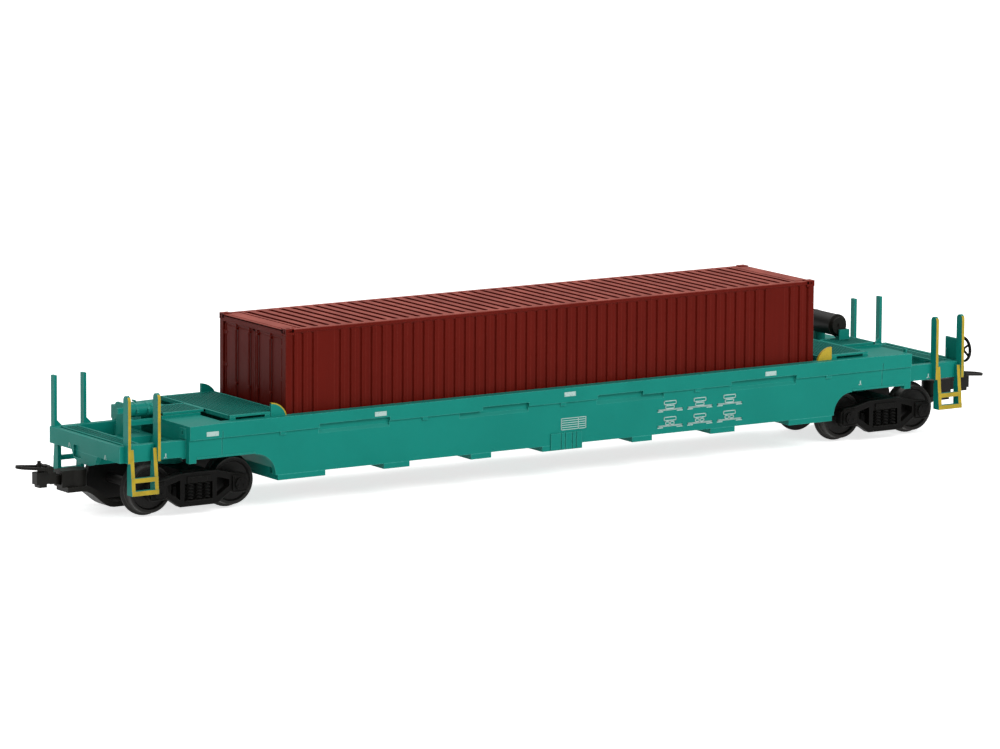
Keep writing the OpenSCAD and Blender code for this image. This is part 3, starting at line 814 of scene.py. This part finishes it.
def front_wall():
    pitch = 2 * (BOX_Y - POST_W) / FRONT_GROOVES
    back = BOX_X - WALL_T
    points = groove_section(-pitch / 2, pitch / 2, 0, BOX_X - SHEET_SET_BACK)
    points += [(pitch / 2, back), (-pitch / 2, back)]
    unit = Shape().plate([(x, y) for y, x in points], "Z", *SHEET_Z)
    unit.move(0, POST_W - BOX_Y + pitch / 2)
    run = repeat(unit.to_object("front_run", container_paint), FRONT_GROOVES, (0, pitch, 0))
    rails = Shape()
    inner = BOX_Y - POST_W
    for z in ((BOX_Z0 + 0.15, BOX_Z0 + BOTTOM_RAIL), (BOX_Z1 - 1.3, BOX_Z1 - 0.2)):
        rails.block((back, BOX_X), (-inner, inner), z)
    wall = join("container_front_sheet", run, rails.to_object("front_rails", container_paint))
    place_piece(wall, "container", "container_paint", "container_front_wall")


front_wall()

# %% [markdown]
# ## Corner posts and castings
# Every container is lifted and stacked by eight hollow corner castings, each with an oval hole in its
# three outer faces. The holes are real pockets here: the face is filled round an oval, and the oval is
# pushed inwards. One corner is drawn, then mirrored to make the others.

# %% Corner castings
CAST_L, CAST_W, CAST_H = 2.05, 1.9, 1.35
# Half sizes of the oval holes in a casting's end, side and top
END_HOLE, SIDE_HOLE, TOP_HOLE = (0.42, 0.3), (0.5, 0.3), (0.55, 0.34)
POCKET_DEEP = 0.5


def oval(half_a, half_b, count=16):
    return [(half_a * math.cos(2 * math.pi * i / count), half_b * math.sin(2 * math.pi * i / count))
            for i in range(count)]


def pocket_face(mesh, middle, across, up, size, hole):
    """A rectangle with an oval pocket pushed in behind it."""
    middle, across, up = Vector(middle), Vector(across), Vector(up)
    inward = up.cross(across)
    border = [(-size[0], -size[1]), (size[0], -size[1]), (size[0], size[1]), (-size[0], size[1])]
    ring = oval(*hole)
    flat = [[Vector((*point, 0)) for point in loop] for loop in (border, ring)]
    front = [mesh.verts.new(middle + across * a + up * b) for a, b in border + ring]
    back = [mesh.verts.new(middle + across * a + up * b + inward * POCKET_DEEP) for a, b in ring]
    for triangle in tessellate_polygon(flat):
        mesh.faces.new([front[i] for i in triangle])
    rim = front[4:]
    for i in range(len(ring)):
        j = (i + 1) % len(ring)
        mesh.faces.new([rim[i], rim[j], back[j], back[i]])
    mesh.faces.new(back)


def corner_casting(top):
    """The casting of the right far corner, at the top or at the bottom."""
    shape = Shape()
    mesh = shape.mesh
    x = (BOX_X - CAST_L, BOX_X)
    y = (BOX_Y - CAST_W, BOX_Y)
    z = (BOX_Z1 - CAST_H, BOX_Z1) if top else (BOX_Z0, BOX_Z0 + CAST_H)
    mid = [(a + b) / 2 for a, b in (x, y, z)]
    half = [(b - a) / 2 for a, b in (x, y, z)]
    sign = 1 if top else -1
    pocket_face(mesh, (x[1], mid[1], mid[2]), (0, 1, 0), (0, 0, 1), (half[1], half[2]), END_HOLE)
    pocket_face(mesh, (mid[0], y[1], mid[2]), (-1, 0, 0), (0, 0, 1), (half[0], half[2]), SIDE_HOLE)
    pocket_face(mesh, (mid[0], mid[1], z[1] if top else z[0]), (sign, 0, 0), (0, 1, 0),
                (half[0], half[1]), TOP_HOLE)
    corners = {(i, j, k): mesh.verts.new((x[i], y[j], z[k])) for i in (0, 1) for j in (0, 1) for k in (0, 1)}
    k = 0 if top else 1
    inner_faces = (((0, 0, 0), (0, 0, 1), (0, 1, 1), (0, 1, 0)), ((0, 0, 0), (1, 0, 0), (1, 0, 1), (0, 0, 1)),
                   ((0, 0, k), (0, 1, k), (1, 1, k), (1, 0, k)))
    for keys in inner_faces:
        mesh.faces.new([corners[key] for key in keys])
    bmesh.ops.remove_doubles(mesh, verts=mesh.verts, dist=0.001)
    bmesh.ops.recalc_face_normals(mesh, faces=mesh.faces)
    return shape


def corners():
    pieces = []
    posts = Shape().block((BOX_X - POST_W, BOX_X - 0.06), (BOX_Y - POST_W, BOX_Y - 0.06),
                          (BOX_Z0 + CAST_H, BOX_Z1 - CAST_H), 0.08)
    for shape in (corner_casting(True), corner_casting(False), posts):
        pieces.append(shape.mirror("X").mirror("Y").to_object("corner", container_paint))
    place_piece(join("container_corners", *pieces), "container", "container_paint", "container_castings")


corners()

# %% [markdown]
# ## The doors
# Each door leaf has a raised frame round two wide panels, hung on four hinges, and closed by two lock rods that run
# from top to bottom through brackets, with a handle on each. A leaf is drawn once for the far side and mirrored.
# The rods stand in the depth of the frame, because nothing on a container may stand past its corners.

# %% Door leaves
LOCK_RODS = (1.7, 7.2)
DOOR_PANELS = ((2.5, 6.4), (8.0, 11.5))
DOOR_FACE_X = -(BOX_X - 0.55)
HEADER_H, SILL_H = 1.5, 1.9
HINGE_COUNT = 4


def door_leaf(name, side, node):
    leaf = Shape()
    low, high = BOX_Z0 + SILL_H, BOX_Z1 - 0.2 - HEADER_H
    edge = BOX_Y - POST_W
    leaf.block((DOOR_FACE_X, DOOR_FACE_X + 0.45), (0.08, edge - 0.1), (low, high))
    frame_w, proud = 0.55, 0.14
    front = (DOOR_FACE_X - proud, DOOR_FACE_X + 0.1)
    for y in (0.08, edge - 0.1 - frame_w):
        leaf.block(front, (y, y + frame_w), (low, high), 0.04)
    for z in (low, high - frame_w):
        leaf.block(front, (0.1, edge - 0.12), (z, z + frame_w), 0.04)
    for inner, outer in DOOR_PANELS:
        leaf.block((DOOR_FACE_X - 0.1, DOOR_FACE_X + 0.1), (inner, outer), (low + 0.8, high - 0.8), 0.06)
    rod_x = DOOR_FACE_X - 0.27
    for y in LOCK_RODS:
        leaf.rod((rod_x, y, BOX_Z0 + 0.9), (rod_x, y, BOX_Z1 - 0.6), 0.17, 10)
        for share in (0.04, 0.5, 0.96):
            z = low + (high - low) * share
            leaf.block((rod_x - 0.24, DOOR_FACE_X), (y - 0.34, y + 0.34), (z - 0.22, z + 0.22), 0.05)
        for z in (BOX_Z0 + 1.0, BOX_Z1 - 0.75):
            leaf.block((rod_x - 0.24, rod_x + 0.5), (y - 0.45, y + 0.45), (z - 0.28, z + 0.28), 0.06)
        handle_z = low + (high - low) * 0.3
        leaf.rod((rod_x - 0.1, y, handle_z), (rod_x - 0.1, y + 2.2, handle_z + 0.25), 0.12, 8)
        leaf.block((rod_x - 0.2, DOOR_FACE_X), (y + 1.8, y + 2.3), (handle_z - 0.05, handle_z + 0.55), 0.05)
    for i in range(HINGE_COUNT):
        z = low + (high - low) * (0.09 + 0.82 * i / (HINGE_COUNT - 1))
        leaf.block((DOOR_FACE_X - 0.2, DOOR_FACE_X + 0.1), (edge - 1.3, edge - 0.05), (z - 0.33, z + 0.33), 0.05)
        leaf.rod((DOOR_FACE_X - 0.2, edge - 0.02, z - 0.45), (DOOR_FACE_X - 0.2, edge - 0.02, z + 0.45), 0.16, 8)
    if side == NEAR:
        leaf.flip("Y")
    place_piece(leaf.to_object(name, container_paint), "container", "container_paint", node)


door_leaf("container_door_leaf_near", NEAR, "container_door_near")
door_leaf("container_door_leaf_far", FAR, "container_door_far")


def door_frame():
    edge = BOX_Y - POST_W
    shape = Shape()
    # The header, the bead on it, the sill and the back plate, each from and to this depth behind the face
    for depth, z, soften in (((0.02, 1), (BOX_Z1 - 0.2 - HEADER_H, BOX_Z1 - 0.24), 0.06),
                             ((0, 0.4), (BOX_Z1 - 0.65, BOX_Z1 - 0.32), 0.05),
                             ((0.02, 1), (BOX_Z0 + 0.16, BOX_Z0 + SILL_H - 0.08), 0.06),
                             ((0.9, 1), (BOX_Z0 + 0.2, BOX_Z1 - 0.3), 0)):
        shape.block([d - BOX_X for d in depth], (-edge, edge), z, soften)
    place_piece(shape.to_object("container_door_frame", container_paint), "container", "container_paint")


door_frame()

# %% [markdown]
# ## Open gratings
# Walkways on railway wagons are open steel grids, so that snow falls through and boots grip. Each grating is
# a row of long bars and a row of cross bars, repeated by the tree, inside a solid border.
# The bars fill the CAD plate's own thickness, and the holes go right through.

# %% Gratings
SILL_TOP = node_box("container_guides_right")[0].z
WELL_Y = node_box("bulkhead_right")[1].y - 0.7
FIN_BACK_X = node_box("container_guides_right")[1].x + 0.1
BRACKET_L = 1.4
GRID_PITCH = 0.95
GRID_BAR = 0.34
BORDER_W = 0.5


def grating(name, x, y, z, node):
    """A grid that fills the box x, y, z."""
    made = []
    border = Shape()
    for axis, (span, dip) in enumerate(((x, 0.02), (y, 0.05))):
        inside = span[1] - span[0] - 2 * BORDER_W
        count = max(1, round(inside / GRID_PITCH) - 1)
        step = inside / (count + 1)
        first = span[0] + BORDER_W + step
        bar = [(x[0] + 0.1, x[1] - 0.1), (y[0] + 0.1, y[1] - 0.1), (z[0] + (0 if axis else 0.08), z[1] - dip)]
        bar[axis] = (first - GRID_BAR / 2, first + GRID_BAR / 2)
        vector = [step if i == axis else 0 for i in range(3)]
        made.append(repeat(Shape().block(*bar, 0.03).to_object("bars", grating_shaded_paint), count, vector))
        for start in (span[0], span[1] - BORDER_W):
            edge = [x, y, z]
            edge[axis] = (start, start + BORDER_W)
            border.block(*edge, 0.06)
    made.append(border.to_object("border", car_paint))
    place_piece(join(name, *made), "car_body", "car_paint", node)


def raised_edges(end, side, low, high, level):
    """What carries the well-end grating: its outer lip, and side rails on brackets over the sills."""
    shape = Shape()
    outer = high.x if side == RIGHT else low.x
    inner = side * FIN_BACK_X
    shape.block(sorted((outer, outer - side * 0.6)), (-WELL_Y, WELL_Y), (low.z + 0.65, level[0] + 0.05))
    for front in (NEAR, FAR):
        y = sorted((front * (WELL_Y - 0.1), front * high.y))
        shape.block(sorted((inner, outer)), y, (level[0] + 0.1, level[1]), 0.06)
        for x in (inner, outer - side * BRACKET_L):
            shape.block(sorted((x, x + side * BRACKET_L)), sorted((front * WELL_Y, front * high.y)),
                        (SILL_TOP - 0.05, level[0] + 0.15), 0.06)
    place_piece(shape.to_object("grating_carrier_" + end, car_paint), "car_body", "car_paint")


def all_gratings():
    for end, side in (("left", LEFT), ("right", RIGHT)):
        walk_low, walk_high = node_box("centre_walkway_" + end)
        low, high = node_box("top_grating_" + end)
        level = (walk_low.z, walk_high.z)
        grating("well_end_grating_" + end, (low.x, high.x), (-WELL_Y, WELL_Y), level, "top_grating_" + end)
        raised_edges(end, side, low, high, level)
        for name, node in (("centre_grating_", "centre_walkway_"), ("end_grating_", "end_walkway_")):
            grating(name + end, *zip(*node_box(node + end)), node + end)


all_gratings()

# %% [markdown]
# ## Printed marks
# A wagon's side carries lettering and loading diagrams. All names and numbers are left off here, and only
# blank label plates, an empty grid and plain outlines of container stacks remain. Each is a film
# 0.03 mm thick, laid on the side's own face and kept as real geometry so that it also reads on an exported mesh.

# %% Labels and diagrams
sill_low, sill_high = node_box("side_sill_far")
CHORD_Y = sill_high.y
WEB_Y = CHORD_Y - 0.4
PRINT = 0.03
LINE = 0.2
# Middles of the label plates along X, with their heights, and half a plate's size
LABELS = ((-90.1, 18.05), (-47.7, 18.7), (1.7, 18.8), (56.1, 18.8))
LABEL_HALF = (1.5, 0.5)
# The empty grid: its ends, its upright lines, and its rows
GRID_X, GRID_UPRIGHTS = (-0.4, 6.3), (-0.4, 4.1, 6.3 - LINE)
GRID_Z, GRID_ROWS, GRID_STEP = (10.75, 13.4), 6, 0.5
# Diagrams: left edge of the base bar along X, and for each row its height and its number of lower boxes
DIAGRAMS_X = (25.5, 33.6, 41.7)
DIAGRAM_ROWS = ((12.45, 1), (8.8, 2))


def film(shape, x, z, y):
    shape.block(sorted(x), (y - 0.02, y + PRINT), z, 0)


def outline_box(shape, x, z, y):
    film(shape, (x[0], x[1]), (z[0], z[0] + LINE), y)
    film(shape, (x[0], x[1]), (z[1] - LINE, z[1]), y)
    film(shape, (x[0], x[0] + LINE), z, y)
    film(shape, (x[1] - LINE, x[1]), z, y)


def stack_diagram(shape, x, z, lower_boxes):
    film(shape, (x, x + 1.5), (z, z + LINE), WEB_Y)
    film(shape, (x + 5.2, x + 6.8), (z, z + LINE), WEB_Y)
    outline_box(shape, (x, x + 6.8), (z + 0.3, z + 0.62), WEB_Y)
    outline_box(shape, (x + 1.7, x + 5.1), (z + 1.55, z + 2.5), WEB_Y)
    width = 2.6 / lower_boxes
    for i in range(lower_boxes):
        left = x + 2.1 + i * width
        outline_box(shape, (left, left + width - 0.12), (z + 0.62, z + 1.45), WEB_Y)


def side_marks():
    shape = Shape()
    for x, z in LABELS:
        film(shape, (x - LABEL_HALF[0], x + LABEL_HALF[0]), (z - LABEL_HALF[1], z + LABEL_HALF[1]), CHORD_Y)
    for i in range(GRID_ROWS):
        z = GRID_Z[0] + i * GRID_STEP
        film(shape, GRID_X, (z, z + LINE * 0.8), WEB_Y)
    for x in GRID_UPRIGHTS:
        film(shape, (x, x + LINE), GRID_Z, WEB_Y)
    for x in DIAGRAMS_X:
        for z, boxes in DIAGRAM_ROWS:
            stack_diagram(shape, x, z, boxes)
    return shape


def add_marks():
    near, far = side_marks().flip("Y"), side_marks().flip("X")
    pair = join("side_prints", near.to_object("near", white_print), far.to_object("far", white_print))
    place_piece(pair, "car_body", "white_print")


add_marks()

# %% [markdown]
# ## Container guides
# A fin on each side sill steers the container into the well. Each is a quarter of a disc, and the one
# at the right near corner is painted yellow, with a yellow line along the curve of its neighbour.

# %% Guide fins
FIN_R = 4.0
FIN_T = 0.6
FIN_X = FIN_BACK_X - 0.1
FIN_DROP = 1.1
PAINT_T = 0.03
PAINT_LINE = 0.22


def fin_arc(radius):
    """Points of the fin's curve in X and Z, from its top down to the sill."""
    low = math.asin(FIN_DROP / radius)
    angles = [math.pi / 2 - (math.pi / 2 - low) * i / 12 for i in range(13)]
    return [(FIN_X - radius * math.cos(a), SILL_TOP - FIN_DROP + radius * math.sin(a)) for a in angles]


def guide_fins():
    plain, painted = Shape(), Shape()
    for side in (LEFT, RIGHT):
        for front in (NEAR, FAR):
            y = sorted((front * WELL_Y, front * (WELL_Y + FIN_T)))
            outline = [(FIN_X, SILL_TOP - 0.05), *fin_arc(FIN_R)]
            shape = painted if (side, front) == (RIGHT, NEAR) else plain
            shape.plate([(side * x, z) for x, z in outline], "Y", *y)
            if (side, front) == (LEFT, NEAR):
                edge = fin_arc(FIN_R + PAINT_T) + fin_arc(FIN_R - PAINT_LINE)[::-1]
                painted.plate([(side * x, z) for x, z in edge], "Y", y[0] - PAINT_T, y[1] + PAINT_T)
    place_piece(plain.to_object("guide_fins", car_paint), "car_body", "car_paint",
                "container_guides_left", "container_guides_right")
    place_piece(painted.to_object("guide_fins_painted", yellow_paint), "car_body", "yellow_paint")


guide_fins()

# %% [markdown]
# ## Small fittings on the body
# The casting's small pieces give the big plain sides their scale: a ribbed plate at the middle foot,
# a turned edge over each wheel arch, a holed lug on the bolster, and tiny painted signs at the lifting points.

# %% Body fittings
BOX_OUT_X = sill_high.x
NEAR_WEB = -WEB_Y + 0.02
RIBBED_X = (-3.2, -0.35, 0.75, 2.6, 3.65, 5.3)
RIBBED_Z = (6.45, 10.2)
RIB_GAP, RIB_T = 0.28, 0.3
ARCH_X = (79.3, BOX_OUT_X - 1.9)
ARCH_EDGE_Z = (12.75, 13.17)
LUG = ((-15.4, 17.2), (-13.0, 17.2), (-13.0, 19.5), (-15.4, 19.5))
LUG_HOLE = ((-14.6, 18.1), (-13.8, 18.1), (-13.8, 18.9), (-14.6, 18.9))


def body_fittings():
    shape = Shape()
    for a, b in zip(RIBBED_X, RIBBED_X[1:]):
        shape.block((a, b - RIB_GAP), (-WEB_Y - RIB_T, NEAR_WEB), RIBBED_Z, 0.05)
    shape.block((RIBBED_X[0], RIBBED_X[-1] - 0.3), (-WEB_Y - 0.07, NEAR_WEB), (RIBBED_Z[0], RIBBED_Z[1] - 0.1), 0)
    for side in (LEFT, RIGHT):
        shape.block(sorted(side * x for x in ARCH_X), (-WEB_Y - 0.14, NEAR_WEB), ARCH_EDGE_Z, 0.04)
    shape.plate(LUG, "X", -BOX_OUT_X - 0.3, -BOX_OUT_X, [LUG_HOLE])
    shape.block((BOX_OUT_X, BOX_OUT_X + 0.35), (-14.6, -13.6), (17.0, SILL_TOP + 0.6), 0.06)
    place_piece(shape.turn_round().to_object("body_fittings", car_paint), "car_body", "car_paint")


# Signs on the end beam, as (y, z), and on the sides, as (x, z, the face's distance from the middle)
BEAM_SIGNS = ((6.5, 13.6), (-9.0, 13.2))
SIDE_SIGNS = ((-100.8, 13.5, 15.2), (81.3, 13.95, WEB_Y), (101.6, 13.65, 15.2))
SIGN_H = 1.0


def lifting_signs():
    """Tiny open arrowheads on the end beam and the sills."""
    shape = Shape()
    beam_x = node_box("end_frame_left")[0].x
    for y, z in BEAM_SIGNS:
        for lean in (-1, 1):
            outline = [(y, z + SIGN_H), (y + lean * 0.18, z + SIGN_H), (y + lean * 0.5, z), (y + lean * 0.32, z)]
            shape.plate(outline, "X", beam_x - PRINT, beam_x + 0.02)
    for x, z, face in SIDE_SIGNS:
        film_y = (-face - PRINT, -face + 0.02)
        shape.block((x, x + 0.25), film_y, (z, z + SIGN_H), 0)
        shape.block((x - 0.3, x + 0.4), film_y, (z, z + 0.22), 0)
    place_piece(shape.turn_round().to_object("lifting_signs", white_print), "car_body", "white_print")


body_fittings()
lifting_signs()

# %% [markdown]
# ## Brake gear and reservoir
# Pressure vessels are held by straps, and brake cylinders by bolted bands. Rods and short bent pipes
# carry the work from one to the other, so each fitting here starts on a CAD piece and ends on another.

# %% Brake gear
cyl_low, cyl_high = node_box("brake_cylinder")
tank_low, tank_high = node_box("air_reservoir")
SILL_END_X = -BOX_OUT_X + 0.2
PIPE_PATH = ((SILL_END_X, 20.9), (-BOX_OUT_X - 1.1, 21.9), (-BOX_OUT_X - 1.5, 22.8), (-BOX_OUT_X - 2.2, 23.0))


def band(shape, centre, axis, radius, width):
    start, end = Vector(centre), Vector(centre)
    index = "XYZ".index(axis)
    start[index] -= width / 2
    end[index] += width / 2
    shape.rod(start, end, radius, 28)


def bent_pipe(shape, points, radius):
    for a, b in zip(points, points[1:]):
        shape.rod(a, b, radius, 8)
    for point in points[1:-1]:
        shape.ball(point, radius * 1.02)


def brake_gear():
    shape = Shape()
    z = (cyl_low.z + cyl_high.z) / 2
    for x in (cyl_low.x + 2.6, cyl_low.x + 5.4):
        band(shape, (x, 0, z), "X", 1.6, 0.4)
        for y in (-1.7, 1.7):
            shape.block((x - 0.25, x + 0.25), (y - 0.28, y + 0.28), (z - 0.35, z + 0.35), 0.06)
    for i in range(6):
        a = math.pi * i / 3
        place = Vector((cyl_low.x, 1.4 * math.cos(a), z + 1.4 * math.sin(a)))
        shape.rod(place, place + Vector((0.7, 0, 0)), 0.16, 6)
    # The cradle under the cylinder, and the lever that its rod works
    shape.block((cyl_low.x, SILL_END_X), (-2.75, -2.1), (19.55, 19.95), 0.08)
    shape.block((cyl_low.x, SILL_END_X), (-2.75, -2.45), (18.7, 19.65), 0.06)
    shape.block((cyl_low.x + 0.3, cyl_low.x + 0.8), (-2.7, 1.6), (19.6, 20.2), 0.08)
    for y in (-3.9, 3.9):
        bent_pipe(shape, [(x, y, height) for x, height in PIPE_PATH], 0.2)
    place_piece(shape.to_object("brake_gear", car_paint), "car_body", "car_paint")


def reservoir_straps():
    shape = Shape()
    middle = (tank_low + tank_high) / 2
    radius = (tank_high.x - tank_low.x) / 2
    for y in (tank_low.y + 1.1, tank_high.y - 2.9):
        band(shape, (middle.x, y, middle.z), "Y", radius + 0.07, 0.5)
    shape.rod((middle.x, tank_low.y + 0.1, middle.z), (middle.x, tank_low.y - 0.25, middle.z), 0.45, 12)
    drop_x = middle.x + 2.1
    bent_pipe(shape, [(middle.x + 1.6, 8, middle.z - 1.7), (drop_x, 8, 21.6), (drop_x, 5.6, 20.6),
                      (drop_x, 5.6, 19.9)], 0.22)
    place_piece(shape.to_object("reservoir_straps", satin_black), "car_body", "black_plastic")


def brake_case():
    """The gear case behind the brake wheel, with its cover, bolts and chain rod."""
    low, high = node_box("brake_housing")
    shape = Shape()
    shape.block((low.x, high.x - 0.12), (low.y, high.y), (low.z, high.z), 0.12)
    shape.block((high.x - 0.2, high.x), (low.y + 0.5, high.y - 0.5), (low.z + 0.5, high.z - 0.5), 0.1)
    for y in (low.y + 0.25, high.y - 0.25):
        for z in (low.z + 0.3, high.z - 0.3):
            shape.rod((high.x - 0.15, y, z), (high.x + 0.05, y, z), 0.14, 6)
    shape.rod((low.x - 0.3, high.y - 0.9, low.z + 2.5), (low.x - 0.3, high.y - 0.9, low.z - 0.05), 0.2, 8)
    place_piece(shape.to_object("brake_case", car_paint), "car_body", "car_paint", "brake_housing")


brake_gear()
reservoir_straps()
brake_case()

# %% [markdown]
# ## Springs by Geometry Nodes
# A coil spring is a spiral curve with a round wire swept along it. The tree takes the turns, radius, height
# and wire as inputs, and the spring it makes is then set out in a row, three to each spring nest.

# %% The spring tree


def build_spring_tree():
    sizes = dict.fromkeys(("Turns", "Radius", "Height", "Wire"), "Float")
    graph, (_, turns, radius, height, wire, finish) = start_tree("coil_spring", **sizes, Finish="Material")
    coil = graph.node("GeometryNodeCurveSpiral", inputs={
        "Resolution": 16, "Rotations": turns, "Start Radius": radius, "End Radius": radius, "Height": height})
    ring = graph.node("GeometryNodeCurvePrimitiveCircle", inputs={"Resolution": 6, "Radius": wire})
    tube = graph.node("GeometryNodeCurveToMesh", inputs={"Curve": coil, "Profile Curve": ring, "Fill Caps": True})
    return end_tree(graph, tube, finish)


spring_tree = build_spring_tree()
print("spring tree:", len(spring_tree.nodes), "nodes")

# %% [markdown]
# ## Bogie details
# A cast bogie frame has a rolled rim along both chords, a bolster end resting on its springs, and a bolted
# cap over each bearing. Brake shoes hang close to the wheel treads, on a beam that crosses the bogie.
# One bogie's details are drawn about its own middle, then moved to each end.

# %% Bogie details
HALF_BASE = 10.2
FRAME_Y = 13.0
SPRING_STEP = 2.1
SPRING_FOOT_Z = 3.35
# Half the angle that a brake shoe spans, and its inner and outer distance from the tread
SHOE_SPAN = 32
SHOE_GAP, SHOE_BACK = 0.14, 0.62
AXLE_Z = 5.95
TREAD_R = 5.25
TOP_CHORD = ((12.4, 7.2), (11.6, 7.9), (8.6, 8.2), (4.6, 9.15), (0, 9.25))
LOW_CHORD = ((12.4, 4.8), (11.7, 4.05), (8.6, 4.1), (7.9, 4.4), (4.6, 2.15), (0, 2.15))


def frame_rims(shape):
    for chord in (TOP_CHORD, LOW_CHORD):
        for mirrored in (LEFT, RIGHT):
            points = [(mirrored * x, FRAME_Y - 0.02, z) for x, z in chord]
            bent_pipe(shape, points, 0.17)


def spring_nest(shape):
    shape.block((-2.9, 2.9), (FRAME_Y - 0.85, FRAME_Y + 0.3), (7.0, 8.5), 0.12)
    shape.block((-2.0, 2.0), (FRAME_Y + 0.2, FRAME_Y + 0.42), (7.3, 8.2), 0.08)
    shape.block((-3.4, 3.4), (FRAME_Y - 0.85, FRAME_Y + 0.25), (3.0, SPRING_FOOT_Z), 0.08)


def bearing_bolts(shape):
    for x in (-HALF_BASE, HALF_BASE):
        for i in range(3):
            a = math.pi * (0.5 + 2 * i / 3)
            place = Vector((x + 0.8 * math.cos(a), FRAME_Y + 0.8, AXLE_Z + 0.8 * math.sin(a)))
            shape.rod(place, place + Vector((0, 0.28, 0)), 0.2, 6)
        shape.block((x - 1.5, x + 1.5), (FRAME_Y + 0.3, FRAME_Y + 0.55), (7.1, 7.6), 0.06)


def brake_shoes(shape):
    for side in (LEFT, RIGHT):
        angles = [math.radians(-SHOE_SPAN + SHOE_SPAN / 4 * i) for i in range(9)]
        arc = [Vector((math.cos(a), math.sin(a))) for a in angles]
        outline = [(TREAD_R + SHOE_GAP) * point for point in arc]
        outline += [(TREAD_R + SHOE_BACK) * point for point in arc[::-1]]
        points = [(side * (HALF_BASE - x), AXLE_Z + z) for x, z in outline]
        shape.plate(points, "Y", 8.0, 9.8)
        shape.rod((side * 3.72, 0, AXLE_Z), (side * 3.72, 9.9, AXLE_Z), 0.26, 10)
        shape.block(sorted((side * 3.6, side * 4.7)), (8.5, 9.3), (AXLE_Z - 0.4, AXLE_Z + 0.4), 0.08)


def bogie_details(end):
    solid = Shape()
    for part in (frame_rims, spring_nest, bearing_bolts, brake_shoes):
        part(solid)
    spring = run_tree(add_object("spring", bpy.data.meshes.new("spring")), spring_tree, Turns=5.0,
                      Radius=0.62 * MM, Height=3.6 * MM, Wire=0.16 * MM, Finish=black_plastic)
    row = repeat(spring, 3, (SPRING_STEP, 0, 0))
    row.data.transform(Matrix.Translation(Vector((-SPRING_STEP, FRAME_Y - 0.1, SPRING_FOOT_Z)) * MM))
    far_row = bpy.data.objects.new("far_row", row.data.copy())
    far_row.data.transform(Matrix.Rotation(math.pi, 4, "Z"))
    whole = join("bogie_details_" + end, solid.mirror("Y").to_object("solid", black_plastic), row, far_row)
    low, high = node_box("bogie_frame_" + end)
    whole.data.transform(Matrix.Translation(Vector(((low.x + high.x) / 2, 0, 0)) * MM))
    place_piece(whole, "bogie_" + end, "black_plastic")


for end in ("left", "right"):
    bogie_details(end)
